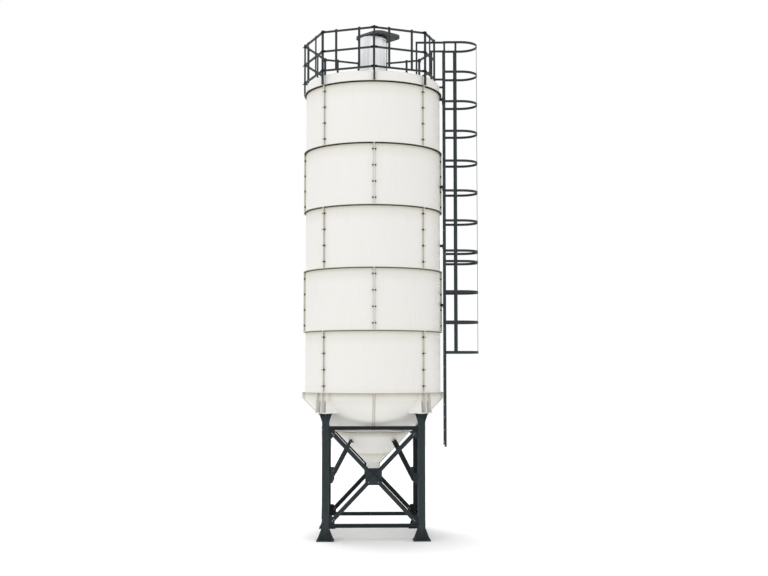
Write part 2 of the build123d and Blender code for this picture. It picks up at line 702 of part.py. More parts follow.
# Hand rails from the ladder's stringers in over the roof
rail_side = stringer_side - HAND_RAIL / 2
with BuildPart() as hand_rails:
    for side, reach in ((-1, FRONT_HAND_RAIL_REACH), (1, REAR_HAND_RAIL_REACH)):
        with BuildSketch(level_plane(LADDER_TURN, hoop_top_z - HAND_RAIL / 2)):
            with Locations((ladder_radius - reach / 2, side * rail_side)):
                Rectangle(reach, HAND_RAIL)
        extrude(amount=HAND_RAIL)
        with BuildSketch(level_plane(LADDER_TURN, roof_ring_z)):
            with Locations((ladder_radius - reach + HAND_RAIL / 2, side * rail_side)):
                Rectangle(HAND_RAIL, HAND_RAIL)
        extrude(amount=hoop_top_z - roof_ring_z)
        with BuildSketch(level_plane(LADDER_TURN, roof_ring_z + GUARD_BOTTOM - HAND_RAIL / 2)):
            with Locations((ladder_radius - LOWER_HAND_RAIL_REACH / 2, side * rail_side)):
                Rectangle(LOWER_HAND_RAIL_REACH, HAND_RAIL)
        extrude(amount=HAND_RAIL)
    add(roof_outside.part, mode=Mode.SUBTRACT)
save(hand_rails.part, "ladder_hand_rails")

# Guard rail: posts on the ring flange at the corners, and an end post beside each hand rail
standoffs = (GUARD_STANDOFF, GUARD_DIAGONAL_STANDOFF)
corner_angles = [360 / GUARD_SIDES * corner for corner in range(GUARD_SIDES)]
corner_radii = [SHELL_RADIUS + standoffs[corner % len(standoffs)] for corner in range(GUARD_SIDES)]
guard_corners = [
    Vector(radius * cos(radians(angle)), radius * sin(radians(angle)), 0)
    for radius, angle in zip(corner_radii, corner_angles)
]
side_length = (guard_corners[1] - guard_corners[0]).length
side_half = side_length / 2
short_length = side_length * GUARD_END
flange_top_z = roof_ring_z + FLANGE_PLATE
post_height = GUARD_TOP + GUARD_BAR / 2 + GUARD_NUB - FLANGE_PLATE


def side_direction(side):
    """Direction of one side of the octagon, anticlockwise."""
    return (guard_corners[(side + 1) % GUARD_SIDES] - guard_corners[side]).normalized()


def side_plane(side):
    """Upright plane on one side of the octagon: local x along the side, local z outwards."""
    along = side_direction(side)
    middle = guard_corners[side] + along * side_half
    return Plane(origin=middle, x_dir=along, z_dir=along.cross(Vector(0, 0, 1)))


def post_clearance(corner, side):
    """Distance from a corner along a side to where a rail ends clear of the post."""
    lean = abs(side_direction(side).dot(guard_corners[corner].normalized()))
    return GUARD_POST / 2 * (lean + sqrt(1 - lean**2)) + CLEARANCE


with BuildPart() as end_posts:
    for side, x_side in ((0, 1), (GUARD_SIDES - 1, -1)):
        end_x = x_side * (side_half - short_length)
        with BuildSketch(side_plane(side).offset(-GUARD_POST / 2)):
            with Locations((end_x, flange_top_z + post_height / 2)):
                Rectangle(GUARD_POST, post_height)
        extrude(amount=GUARD_POST)
    add(roof_outside.part, mode=Mode.SUBTRACT)
with BuildPart() as guard_posts:
    for corner in range(1, GUARD_SIDES):
        angle = corner_angles[corner]
        with BuildSketch(level_plane(angle, flange_top_z)):
            with Locations((corner_radii[corner], 0)):
                Rectangle(GUARD_POST, GUARD_POST)
        extrude(amount=post_height)
        foot_length = corner_radii[corner] + GUARD_POST / 2 - SHELL_RADIUS - FLANGE_PLATE
        with BuildSketch(level_plane(angle, flange_top_z)):
            with Locations((SHELL_RADIUS + FLANGE_PLATE + foot_length / 2, 0)):
                Rectangle(foot_length, POST_FOOT)
        extrude(amount=POST_FOOT_PLATE)
        outwards = guard_corners[corner].normalized()
        for level in (GUARD_BOTTOM, GUARD_MIDDLE, GUARD_TOP):
            pin_centre = guard_corners[corner] + Vector(0, 0, roof_ring_z + level - GUARD_PIN_DROP)
            with BuildSketch(Plane(origin=pin_centre, z_dir=outwards)):
                Circle(GUARD_PIN / 2)
            extrude(amount=GUARD_PIN_REACH)
    add(end_posts.part)
save(guard_posts.part, "guard_posts")


def guard_panel(side, low_x, high_x, balusters):
    """Three rails and their balusters between two posts, on one side of the octagon."""
    plane = side_plane(side)
    with BuildPart() as panel:
        for level in (GUARD_BOTTOM, GUARD_MIDDLE, GUARD_TOP):
            with BuildSketch(plane.offset(-GUARD_BAR / 2)):
                with Locations(((low_x + high_x) / 2, roof_ring_z + level)):
                    Rectangle(high_x - low_x, GUARD_BAR)
            extrude(amount=GUARD_BAR)
        baluster_height = GUARD_TOP - GUARD_BOTTOM + GUARD_BAR / 2 + GUARD_NUB
        with BuildSketch(plane.offset(-BALUSTER_PLATE / 2)):
            for x in balusters:
                with Locations((x, roof_ring_z + GUARD_BOTTOM + baluster_height / 2)):
                    Rectangle(BALUSTER_WIDTH, baluster_height)
        extrude(amount=BALUSTER_PLATE)
    return panel.part


def full_panel(side, shares):
    """Panel between two corner posts, its balusters at shares of the side from the diagonal corner."""
    low_x = post_clearance(side, side) - side_half
    high_x = side_half - post_clearance(side + 1, side)
    way = 1 if side % 2 else -1
    return guard_panel(side, low_x, high_x, [way * (share * side_length - side_half) for share in shares])


short_low = side_half - short_length + GUARD_POST / 2 + CLEARANCE
short_high = side_half - post_clearance(1, 0)
short_middle = side_half - short_length / 2
guard_groups = {
    "guard_panels_beside_ladder": [
        guard_panel(0, short_low, short_high, (short_middle,)),
        guard_panel(GUARD_SIDES - 1, -short_high, -short_low, (-short_middle,)),
    ],
    "guard_panels_front": [full_panel(side, BALUSTER_SHARES) for side in (6, 5)],
    "guard_panels_left": [full_panel(side, LEFT_BALUSTER_SHARES) for side in (4, 3)],
    "guard_panels_back": [full_panel(side, BALUSTER_SHARES) for side in (2, 1)],
}
for name, group in guard_groups.items():
    with BuildPart() as panels:
        add(group)
    save(panels.part, name)

# Filter: collar welded on the roof, drum with a lid, tie rods and a hood
collar_inner = FILTER_RADIUS + CLEARANCE
collar_outer = FILTER_RADIUS + FILTER_COLLAR
collar_top_z = roof_height(collar_inner) + FILTER_COLLAR_HEIGHT
with BuildPart() as collar:
    with BuildSketch(Plane.XZ):
        with BuildLine():
            Polyline(
                (collar_inner, roof_height(collar_inner) + CLEARANCE),
                (collar_outer, roof_height(collar_outer) + CLEARANCE),
                (collar_outer, collar_top_z),
                (collar_inner, collar_top_z),
                close=True,
            )
        make_face()
    revolve(axis=Axis.Z)
save(collar.part, "filter_collar")

drum_bottom_z = roof_height(FILTER_RADIUS - FILTER_WALL) + CLEARANCE
with BuildPart() as drum:
    with BuildSketch(Plane.XY.offset(drum_bottom_z)):
        Circle(FILTER_RADIUS)
        Circle(FILTER_RADIUS - FILTER_WALL, mode=Mode.SUBTRACT)
    extrude(amount=filter_top_z - drum_bottom_z)
    with BuildSketch(Plane.XY.offset(filter_top_z - FILTER_LID)):
        Circle(FILTER_RADIUS)
    extrude(amount=FILTER_LID)
save(drum.part, "filter_drum")

hood_bottom_z = filter_top_z + HOOD_GAP
hood_under_z = hood_bottom_z + HOOD_RECESS
hood_place = Location((HOOD_OFFSET, HOOD_SET_BACK), HOOD_TURN)
with BuildPart() as hood:
    with BuildSketch(Plane.XY.offset(hood_bottom_z)):
        with Locations(hood_place):
            RectangleRounded(HOOD_LENGTH, HOOD_WIDTH, HOOD_CORNER)
    extrude(amount=HOOD_THICKNESS)
    with BuildSketch(Plane.XY.offset(hood_bottom_z)):
        with Locations(hood_place):
            RectangleRounded(
                HOOD_LENGTH - 2 * HOOD_RIM, HOOD_WIDTH - 2 * HOOD_RIM, HOOD_CORNER - HOOD_RIM
            )
    extrude(amount=HOOD_RECESS, mode=Mode.SUBTRACT)
    with BuildSketch(Plane.XY.offset(filter_top_z)):
        with PolarLocations(HOOD_POST_REACH, len(DIAGONALS), HOOD_TURN):
            Rectangle(HOOD_POST, HOOD_POST)
    extrude(amount=hood_under_z - filter_top_z)
save(hood.part, "filter_hood")

rod_radius = FILTER_RADIUS + ROD_STANDOFF
with BuildPart() as rods:
    with BuildSketch(Plane.XY.offset(collar_top_z)):
        with PolarLocations(rod_radius, len(DIAGONALS)):
            Circle(ROD_DIAMETER / 2)
    extrude(amount=hood_under_z - collar_top_z)
save(rods.part, "filter_tie_rods")
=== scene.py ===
"""Cement silo: finishes, fasteners, plates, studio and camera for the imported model."""
import json
import logging
import math
from collections.abc import Sequence
from dataclasses import astuple, dataclass, field, replace
from enum import Enum

import bmesh
import bpy
from mathutils import Matrix, Vector


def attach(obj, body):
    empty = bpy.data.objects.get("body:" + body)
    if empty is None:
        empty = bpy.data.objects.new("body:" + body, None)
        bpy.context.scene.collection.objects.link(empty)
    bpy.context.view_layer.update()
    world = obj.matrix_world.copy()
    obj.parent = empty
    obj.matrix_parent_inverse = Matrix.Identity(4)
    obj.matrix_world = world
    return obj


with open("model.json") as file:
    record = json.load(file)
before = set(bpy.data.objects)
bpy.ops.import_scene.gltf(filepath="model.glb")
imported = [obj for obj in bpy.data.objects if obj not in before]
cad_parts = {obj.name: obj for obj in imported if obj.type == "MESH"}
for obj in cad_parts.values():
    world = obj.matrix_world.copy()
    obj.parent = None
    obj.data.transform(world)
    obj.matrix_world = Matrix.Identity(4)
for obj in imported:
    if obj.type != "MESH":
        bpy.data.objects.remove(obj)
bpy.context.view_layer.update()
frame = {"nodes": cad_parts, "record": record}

LOG = logging.getLogger("silo")
Mesh = bmesh.types.BMesh
Node = bpy.types.Node
Socket = bpy.types.NodeSocket
Tree = bpy.types.NodeTree
# The middle and the direction of each bolt of a set
Spots = list[tuple[Vector, Vector]]

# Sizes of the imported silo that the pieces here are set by, in metres
SHELL_RADIUS = 1.5
TIER_HEIGHT = 1.330
RING_Z = [3.110 + TIER_HEIGHT * ring for ring in range(6)]
SEAM_RADIUS = 1.524
HOPPER_JOINT_RADIUS = 0.841
HOPPER_JOINT_Z = 2.2752
LEG_OFFSET = 1.020
LADDER_TURN = math.radians(-2.4)
LADDER_RADIUS = 1.579
STRINGER_SIDE = 0.380
STRINGER_INSIDE = 0.359
HOOP_HEIGHTS = [top - 0.668 * hoop for top, hoops in ((10.903, 8), (5.993, 4)) for hoop in range(hoops)]

UP = Vector((0, 0, 1))
SIDES = (-1, 1)
DIAGONALS = (45, 135, 225, 315)
QUARTER_TURNS = [Matrix.Rotation(math.radians(90 * turn), 4, "Z") for turn in range(4)]


class Finish(Enum):
    """The finishes that the silo's pieces wear."""

    SHELL = "cream_alkyd_paint"
    FRAME = "dark_frame_paint"
    BEAM = "shaded_beam_paint"
    LADDER = "dark_ladder_paint"
    RUNG = "highlit_rung_ladder_paint"
    HOOD = "hood_coating"
    FILTER = "rolled_stainless_steel"
    ROD = "black_oxide_steel"
    ZINC = "zinc_plated_steel"
    JOINT = "black_coated_steel"
    SEALANT = "shade_dark_sealant"
    MASTIC = "aged_mastic"


def linear(hex_code: str) -> tuple[float, float, float, float]:
    """Turn an sRGB hex value into a linear colour.

    Args:
        hex_code: Six hex digits, with or without a leading hash.

    Returns:
        Red, green, blue and alpha, linear.
    """
    digits = hex_code.lstrip("#")
    parts = [int(digits[i:i + 2], 16) / 255 for i in (0, 2, 4)]
    flat = [c / 12.92 if c <= 0.04045 else ((c + 0.055) / 1.055) ** 2.4 for c in parts]
    return (flat[0], flat[1], flat[2], 1.0)


def add_node(tree: Tree, kind: str, inputs: dict | Sequence = (), **settings: object) -> Node:
    """Add a node with its settings and links.

    Args:
        tree: The tree that gets the node.
        kind: The node's type name.
        inputs: Sockets to link and values to set, in the inputs' order or by name or number.
        settings: The node's properties.

    Returns:
        The new node.
    """
    node = tree.nodes.new(kind)
    for key, value in settings.items():
        setattr(node, key, value)
    for key, value in (inputs if isinstance(inputs, dict) else dict(enumerate(inputs))).items():
        if isinstance(value, Socket):
            tree.links.new(value, node.inputs[key])
        else:
            node.inputs[key].default_value = value
    return node


def seen_rays(tree: Tree) -> Socket:
    """Tell the rays that show the background, straight or in gloss and glass, from those that light.

    Args:
        tree: The tree of the floor's material or of the world.

    Returns:
        A socket that is 1 for rays that show.
    """
    path = add_node(tree, "ShaderNodeLightPath").outputs
    seen = path["Is Camera Ray"]
    for ray in ("Is Glossy Ray", "Is Transmission Ray"):
        seen = add_node(tree, "ShaderNodeMath", (seen, path[ray]), operation="MAXIMUM").outputs[0]
    return seen


class Coat:
    """A material in the making: its nodes, its shader and the colour laid on so far."""

    def __init__(self, name: str, colour: str) -> None:
        """Start a material.

        Args:
            name: The material's name.
            colour: The hex colour under all the others.
        """
        self.material = bpy.data.materials.new(name)
        self.material.use_nodes = True
        self.tree = self.material.node_tree
        self.tree.nodes.clear()
        self.shader = add_node(self.tree, "ShaderNodeBsdfPrincipled")
        add_node(self.tree, "ShaderNodeOutputMaterial", {"Surface": self.shader.outputs["BSDF"]})
        self.place = self.add("TexCoord", output="Object")
        self.normal = self.add("NewGeometry", output="Normal")
        self.colour = linear(colour)
        self.under = {}

    def add(self, kind: str, inputs: dict | Sequence = (), output: int | str = 0,
            **settings: object) -> Socket:
        """Add a shader node and take one of its outputs.

        Args:
            kind: The node's type name after ShaderNode.
            inputs: Its inputs, as add_node takes them.
            output: The output's number or name.
            settings: The node's properties.

        Returns:
            The output's socket.
        """
        return add_node(self.tree, "ShaderNode" + kind, inputs, **settings).outputs[output]

    def share(self, value: Socket, low: float, high: float,
              to_low: float = 0.0, to_high: float = 1.0) -> Socket:
        """Turn a value into a share that runs smoothly over a range and stays level beyond it.

        Args:
            value: The socket to turn.
            low: Start of the range.
            high: End of the range.
            to_low: The share at the start.
            to_high: The share at the end.

        Returns:
            The share's socket.
        """
        inputs = {"Value": value, "From Min": low, "From Max": high, "To Min": to_low, "To Max": to_high}
        return self.add("MapRange", inputs, "Result", interpolation_type="SMOOTHSTEP")

    def product(self, first: Socket, *others: Socket | float) -> Socket:
        """Multiply shares.

        Args:
            first: The first of them.
            others: More of them, or numbers.

        Returns:
            Their product's socket.
        """
        for other in others:
            first = self.add("Math", (first, other), operation="MULTIPLY")
        return first

    def lay(self, above: str, *shares: Socket | float) -> None:
        """Lay a colour over what is there.

        Args:
            above: The hex colour on top.
            shares: How much of it shows: the product of these.
        """
        inputs = {0: self.product(*shares), 6: self.colour, 7: linear(above)}
        self.colour = self.add("Mix", inputs, 2, data_type="RGBA")

    def relief(self, height: Socket, strength: float, depth: float) -> None:
        """Add relief over what is there.

        Args:
            height: The pattern that stands out.
            strength: How much of it shows.
            depth: Its depth in metres.
        """
        bump = self.add("Bump", {"Height": height, "Strength": strength, "Distance": depth, **self.under})
        self.under = {"Normal": bump}
        self.tree.links.new(bump, self.shader.inputs["Normal"])

    def gloss(self, mottle: Socket, smooth: float, rough: float, specular: float = 0.5) -> None:
        """Let the roughness follow a mottled pattern.

        Args:
            mottle: The pattern.
            smooth: The roughness where the pattern is low.
            rough: The roughness where it is high.
            specular: The specular level.
        """
        self.tree.links.new(self.share(mottle, 0.3, 0.7, smooth, rough), self.shader.inputs["Roughness"])
        self.shader.inputs["Specular IOR Level"].default_value = specular


@dataclass(frozen=True)
class CreamAlkydPaint:
    """Two coats of cream alkyd paint, rolled and sprayed on 4 mm steel plate.

    Gives a satin off-white with faint rain streaks and plates that are not quite flat.
    Shade is painted in below each ring and under the hopper's joint, dark on the ring
    flanges with some dirt, and on the sides of seams and ribs and the plates beside the seams.
    """

    colour: str = "#EFEEEA"
    streak: str = "#DCD8CA"
    shade_and_grime: str = "#4A4737"
    corner: str = "#B3AE9B"
    roughness: float = 0.48
    streak_width_mm: float = 45.0
    streak_squeeze: float = 0.055
    buckle_mm: float = 700.0
    peel_mm: float = 12.0
    console_half: float = 0.168
    clean_seam: float = 0.011

    def lay_on(self, coat: Coat) -> None:
        """Lay streaks, shade and dirt on the coat.

        Args:
            coat: The material in the making, begun with this colour.
        """
        x, y, z = add_node(coat.tree, "ShaderNodeSeparateXYZ", [coat.place]).outputs
        level = coat.add("CombineXYZ", (x, y))
        radius = coat.add("VectorMath", [level], "Value", operation="LENGTH")
        angle = coat.add("Math", (y, x), operation="ARCTAN2")
        around = coat.product(angle, SHELL_RADIUS)
        unrolled = coat.add("CombineXYZ", (around, coat.product(z, self.streak_squeeze)))
        rain = coat.add("TexNoise", {
            "Scale": 1000 / self.streak_width_mm, "Detail": 5.0, "Roughness": 0.6, "Vector": unrolled})
        cloud = coat.add("TexNoise", {"Scale": 1.4, "Detail": 4.0, "Vector": coat.place})
        coat.lay(self.streak, coat.share(rain, 0.52, 0.78), coat.share(cloud, 0.35, 0.7, 0.1, 0.55))
        # Painted shade that fades below each ring, wide and near; below is the distance from it, as a share
        # of a tier
        tiers = coat.add("Math", (coat.add("Math", (z, RING_Z[0]), operation="SUBTRACT"), TIER_HEIGHT),
                         operation="DIVIDE")
        below = coat.add("Math", [coat.product(tiers, -1.0)], operation="FRACT")
        coat.lay("#DEDBD0", coat.share(below, 0.28, 0.0, 0.0, 0.6))
        coat.lay("#C9C4B2", coat.share(below, 0.085, 0.0), coat.share(rain, 0.3, 0.75, 0.6, 1.0), 0.75)
        # Painted shade the same way under the joint of the hopper's two courses
        coat.lay("#A8A391", coat.share(z, HOPPER_JOINT_Z - 0.16, HOPPER_JOINT_Z - 0.02),
                 coat.share(z, HOPPER_JOINT_Z - 0.006, HOPPER_JOINT_Z - 0.010), 0.7)
        # Distance from the nearest seam: at 0 and 90 degrees on tiers 2 and 4 and the hopper, else at 45
        tier = coat.add("Math", [tiers], operation="FLOOR")
        odd = coat.add("Math", (tier, 2.0), operation="FLOORED_MODULO")
        half = coat.product(radius, 0.5)
        waves = [coat.add("Math", [coat.product(angle, 2.0)], operation=wave) for wave in ("SINE", "COSINE")]
        swings = [coat.add("Math", [wave], operation="ABSOLUTE") for wave in waves]
        straight, turned = (coat.product(half, swing) for swing in swings)
        beside = coat.add("Mix", {0: odd, 2: turned, 3: straight})
        # Painted shade, with some dirt and sealant, on the lower flange of each ring joint and on its
        # underside; stronger on higher rings, where more of the shaded underside shows from below
        coat.lay(self.shade_and_grime, coat.share(radius, SHELL_RADIUS + 0.002, SHELL_RADIUS + 0.004),
                 coat.share(below, 0.0074, 0.0062), coat.share(z, RING_Z[0], RING_Z[4], 0.45, 1.0),
                 coat.share(beside, self.clean_seam, self.clean_seam + 0.003))
        # Painted shade on the sides of seam flanges, console ribs and hopper ribs, which face along the ring
        outwards = coat.add("VectorMath", [level], operation="NORMALIZE")
        sideways = coat.add("VectorMath", (outwards, (0.0, 0.0, 1.0)), operation="CROSS_PRODUCT")
        facing = coat.add("VectorMath", (sideways, coat.normal), "Value", operation="DOT_PRODUCT")
        on_shell = coat.share(z, RING_Z[0], RING_Z[0] + 0.05, 0.0, 0.75)
        # On the consoles only what lies between the outer ribs
        on_consoles = coat.share(turned, self.console_half, self.console_half - 0.003, 0.0, 0.11)
        coat.lay(self.corner, coat.share(coat.add("Math", [facing], operation="ABSOLUTE"), 0.8, 0.97),
                 coat.add("Math", (on_shell, on_consoles), operation="MAXIMUM"))
        # Painted shade the same way on the plates beside the seams, less on the shell than on the hopper
        coat.lay(self.corner, coat.share(beside, 0.042, 0.014), coat.share(beside, 0.0078, 0.0095),
                 coat.share(z, 2.29, 2.30), coat.share(z, RING_Z[0] - 0.02, RING_Z[0], 0.85, 0.35),
                 coat.share(z, RING_Z[5], RING_Z[5] - 0.01))
        coat.gloss(cloud, self.roughness - 0.06, self.roughness + 0.08)
        buckle = {"Scale": 1000 / self.buckle_mm, "Detail": 1.0, "Vector": coat.place}
        coat.relief(coat.add("TexNoise", buckle), 0.35, 0.012)
        # Orange peel is about 2 mm across; drawn at 12 mm so that it shows
        peel = {"Scale": 1000 / self.peel_mm, "Detail": 3.0, "Vector": coat.place}
        coat.relief(coat.add("TexNoise", peel), 0.15, 0.0012)


@dataclass(frozen=True)
class DarkSteelPaint:
    """Blue-grey machinery enamel, brushed on rolled steel sections.

    Gives a dark satin coat with dust on what faces up and small chips down to the primer.
    Faces of the frame that turn towards the silo's axis are blacker, which is painted shade,
    and the tops of the ladder's rungs are pale bare-steel grey, which is a painted highlight.
    """

    colour: str = "#2C3437"
    dust: str = "#6E716B"
    primer: str = "#5A4A3C"
    roughness: float = 0.5
    sheen: float = 0.2
    chip_mm: float = 55.0
    scale_mm: float = 8.0
    inner_shade: float = 0.0
    rung_highlight: float = 0.0

    def lay_on(self, coat: Coat) -> None:
        """Lay brush marks, dust, chips and wear on the coat.

        Args:
            coat: The material in the making, begun with this colour.
        """
        upwards = coat.add("SeparateXYZ", [coat.normal], 2)
        brushed = coat.add("TexNoise", {"Scale": 9.0, "Detail": 6.0, "Roughness": 0.62, "Vector": coat.place})
        specks = coat.add("TexNoise", {
            "Scale": 1000 / self.chip_mm, "Detail": 8.0, "Roughness": 0.7, "Vector": coat.place})
        coat.lay("#22292B", coat.share(brushed, 0.3, 0.7, 0.0, 0.35))
        coat.lay(self.dust, coat.share(upwards, 0.3, 0.95), coat.share(brushed, 0.35, 0.7, 0.25, 0.9), 0.55)
        coat.lay(self.primer, coat.share(specks, 0.705, 0.73, 0.0, 0.7))
        # Painted shade: faces that turn towards the silo's axis are blacker
        if self.inner_shade:
            level = coat.add("VectorMath", (coat.place, (1.0, 1.0, 0.0)), operation="MULTIPLY")
            outwards = coat.add("VectorMath", [level], operation="NORMALIZE")
            away = coat.add("VectorMath", (outwards, coat.normal), "Value", operation="DOT_PRODUCT")
            coat.lay("#0C0E0F", coat.share(away, -0.2, -0.55, 0.0, self.inner_shade))
        # Painted highlight: the tops of the rungs are pale
        if self.rung_highlight:
            # The rungs are what lies between the stringers
            across = (-math.sin(LADDER_TURN), math.cos(LADDER_TURN), 0.0)
            sideways = coat.add("VectorMath", (coat.place, across), "Value", operation="DOT_PRODUCT")
            distance = coat.add("Math", [sideways], operation="ABSOLUTE")
            coat.lay("#B4B1A8", coat.share(distance, STRINGER_INSIDE, STRINGER_INSIDE - 0.003),
                     coat.share(upwards, -0.4, 0.3, 0.0, self.rung_highlight))
        coat.gloss(brushed, self.roughness - 0.08, self.roughness + 0.14, self.sheen)
        # Mill scale and brush marks of about 1 mm, drawn at 8 mm so that they show
        scale = {"Scale": 1000 / self.scale_mm, "Detail": 4.0, "Vector": coat.place}
        coat.relief(coat.add("TexNoise", scale), 0.3, 0.0015)


@dataclass(frozen=True)
class HoodCoating:
    """Polyester powder coat on pressed sheet, dusted with cement on top.

    Gives a smooth dark grey outside and a brownish, darker underside, which is painted shade.
    """

    colour: str = "#4B5558"
    underside: str = "#2F2C29"
    dust: str = "#6F6E69"
    roughness: float = 0.45

    def lay_on(self, coat: Coat) -> None:
        """Lay blotches and dust on the coat.

        Args:
            coat: The material in the making, begun with this colour.
        """
        upwards = coat.add("SeparateXYZ", [coat.normal], 2)
        blotch = coat.add("TexNoise", {"Scale": 5.0, "Detail": 6.0, "Vector": coat.place})
        coat.lay("#3C3A34", coat.share(blotch, 0.45, 0.75, 0.0, 0.3))
        coat.lay(self.dust, coat.share(upwards, 0.5, 0.95), coat.share(blotch, 0.35, 0.65, 0.3, 0.9))
        # Painted shade: the underside is darker and brownish
        coat.lay(self.underside, coat.share(upwards, -0.3, -0.8))
        coat.gloss(blotch, self.roughness - 0.05, self.roughness + 0.15, 0.25)
        grain = {"Scale": 160.0, "Detail": 2.0, "Vector": coat.place}
        coat.relief(coat.add("TexNoise", grain), 0.2, 0.001)


@dataclass(frozen=True)
class BareSteel:
    """Bare sheet or plated steel.

    Rolled stainless sheet has upright grinding lines and broad upright grey bands, which are painted
    reflections;
    zinc plating is duller, with a grey bloom and a little rust-brown dirt.
    """

    colour: str
    dirt: str
    roughness: float
    line_mm: float
    dirt_share: float
    band: str = "#6E7072"
    band_share: float = 0.0

    def lay_on(self, coat: Coat) -> None:
        """Lay dirt, bands and grinding lines on the metal.

        Args:
            coat: The material in the making, begun with this colour.
        """
        squeezed = coat.add("Mapping", {"Vector": coat.place, "Scale": (1.0, 1.0, 0.02)})
        lines = coat.add("TexNoise", {
            "Scale": 1000 / self.line_mm, "Detail": 6.0, "Roughness": 0.65, "Vector": squeezed})
        bloom = coat.add("TexNoise", {"Scale": 14.0, "Detail": 4.0, "Vector": coat.place})
        coat.lay(self.dirt, coat.share(bloom, 0.42, 0.72, 0.0, self.dirt_share))
        # Painted reflections: broad upright grey bands on the drum
        if self.band_share:
            bands = {"Scale": 1000 / (self.line_mm * 12), "Detail": 2.0, "Vector": squeezed}
            coat.lay(self.band, coat.share(coat.add("TexNoise", bands), 0.42, 0.66, 0.0, self.band_share))
        coat.shader.inputs["Metallic"].default_value = 1.0
        coat.gloss(lines, self.roughness - 0.06, self.roughness + 0.12)
        coat.relief(lines, 0.12, 0.0006)


@dataclass(frozen=True)
class Sealant:
    """Polysulphide sealant, smoothed into a corner by hand and left to the weather.

    Gives a matt, slightly lumpy line whose colour changes with the height of the joint;
    under the ring flanges it is dark, and darker the higher the joint, which is painted shade.
    """

    colour: str
    high: str
    lump_mm: float = 25.0
    roughness: float = 0.8

    def lay_on(self, coat: Coat) -> None:
        """Lay the colour of the high joints, which is painted shade, and the lumps on the sealant.

        Args:
            coat: The material in the making, begun with this colour.
        """
        height = coat.add("SeparateXYZ", [coat.place], 2)
        lumps = coat.add("TexNoise", {"Scale": 1000 / self.lump_mm, "Detail": 4.0, "Vector": coat.place})
        # Painted shade: darker the higher the joint, as more of a flange's shaded underside shows from below
        coat.lay(self.high, coat.share(height, RING_Z[0], RING_Z[5]))
        coat.lay("#8B8874", coat.share(lumps, 0.6, 0.8, 0.0, 0.25))
        coat.gloss(lumps, self.roughness - 0.1, self.roughness + 0.1, 0.2)
        coat.relief(lumps, 0.4, 0.002)


@dataclass
class Finishes:
    """All the finishes, built once."""

    KINDS = {
        Finish.SHELL: CreamAlkydPaint(),
        # The frame's faces towards the silo's axis get painted shade
        Finish.FRAME: DarkSteelPaint(inner_shade=0.85),
        # The beams wear a blacker copy of the frame paint, as painted shade under the hopper
        Finish.BEAM: DarkSteelPaint("#181D1F", "#4A4D46", sheen=0.14),
        Finish.LADDER: DarkSteelPaint("#333C3F", chip_mm=40.0),
        # Painted highlight on the tops of the rungs
        Finish.RUNG: DarkSteelPaint("#333C3F", chip_mm=40.0, rung_highlight=0.85),
        Finish.HOOD: HoodCoating(),
        # The filter's grey upright bands are painted reflections
        Finish.FILTER: BareSteel("#F2F2F4", "#D8D6D0", 0.34, 6.0, 0.25, "#BCBDC1", 0.35),
        Finish.ROD: BareSteel("#343636", "#2E2A24", 0.5, 4.0, 0.6),
        Finish.ZINC: BareSteel("#8A8F91", "#5C5A55", 0.42, 3.0, 0.7),
        Finish.JOINT: DarkSteelPaint("#14181A", "#2C2E2D", "#2A231D", sheen=0.12),
        # The sealant's dark colour is painted shade under the ring flanges
        Finish.SEALANT: Sealant("#7A7763", "#1E1C15"),
        Finish.MASTIC: Sealant("#D0C9B5", "#CBC3AE"),
    }
    BY_SLOT = {"cream_paint": Finish.SHELL, "dark_frame_paint": Finish.FRAME,
               "dark_ladder_paint": Finish.LADDER, "hood_paint": Finish.HOOD, "bare_steel": Finish.FILTER}
    # Nodes whose surface differs from the rest of their slot
    OWN_FINISH = {"filter_tie_rods": Finish.ROD, "top_beams": Finish.BEAM, "bottom_beams": Finish.BEAM,
                  "ladder_lower_section": Finish.RUNG, "ladder_upper_section": Finish.RUNG}

    made: dict[Finish, bpy.types.Material] = field(default_factory=dict)

    def build(self) -> None:
        """Build every finish."""
        for finish, kind in self.KINDS.items():
            coat = Coat(finish.value, kind.colour)
            kind.lay_on(coat)
            coat.tree.links.new(coat.colour, coat.shader.inputs["Base Color"])
            self.made[finish] = coat.material

    def wear(self, piece: bpy.types.Object, finish: Finish) -> None:
        """Give a new piece its finish and body.

        Args:
            piece: The new piece, with its place in its mesh.
            finish: What it wears.
        """
        piece.data.materials.clear()
        piece.data.materials.append(self.made[finish])
        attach(piece, "root")
        LOG.info("piece %s: %d faces, %s", piece.name, len(piece.data.polygons), finish.value)

    def dress_nodes(self) -> None:
        """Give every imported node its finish."""
        slots = {part["node"]: part["material_slot"] for part in frame["record"]["subparts"]}
        for name, node in frame["nodes"].items():
            finish = self.OWN_FINISH.get(name, self.BY_SLOT[slots[name]])
            node.data.materials.clear()
            node.data.materials.append(self.made[finish])
            LOG.info("node %s: %s", name, finish.value)


def linked(name: str, data: bpy.types.ID) -> bpy.types.Object:
    """Put an object with this data into the scene.

    Args:
        name: The object's name.
        data: Its mesh, lamp or camera.

    Returns:
        The object.
    """
    made = bpy.data.objects.new(name, data)
    bpy.context.scene.collection.objects.link(made)
    return made


def object_from(mesh: Mesh, name: str) -> bpy.types.Object:
    """Turn a bmesh into an object at the origin.

    Args:
        mesh: The finished bmesh; it is freed.
        name: The object's name.

    Returns:
        The new object.
    """
    data = bpy.data.meshes.new(name)
    mesh.to_mesh(data)
    mesh.free()
    return linked(name, data)


def polar(radius: float, degrees: float, z: float = 0.0) -> Vector:
    """Point at a radius and an angle about the silo's axis."""
    a = math.radians(degrees)
    return Vector((radius * math.cos(a), radius * math.sin(a), z))


def seam_angles(tier: int) -> list[int]:
    """Angles of a tier's four seams, which turn by 45 degrees from tier to tier."""
    return [quarter * 90 + (0 if tier % 2 else 45) for quarter in range(4)]


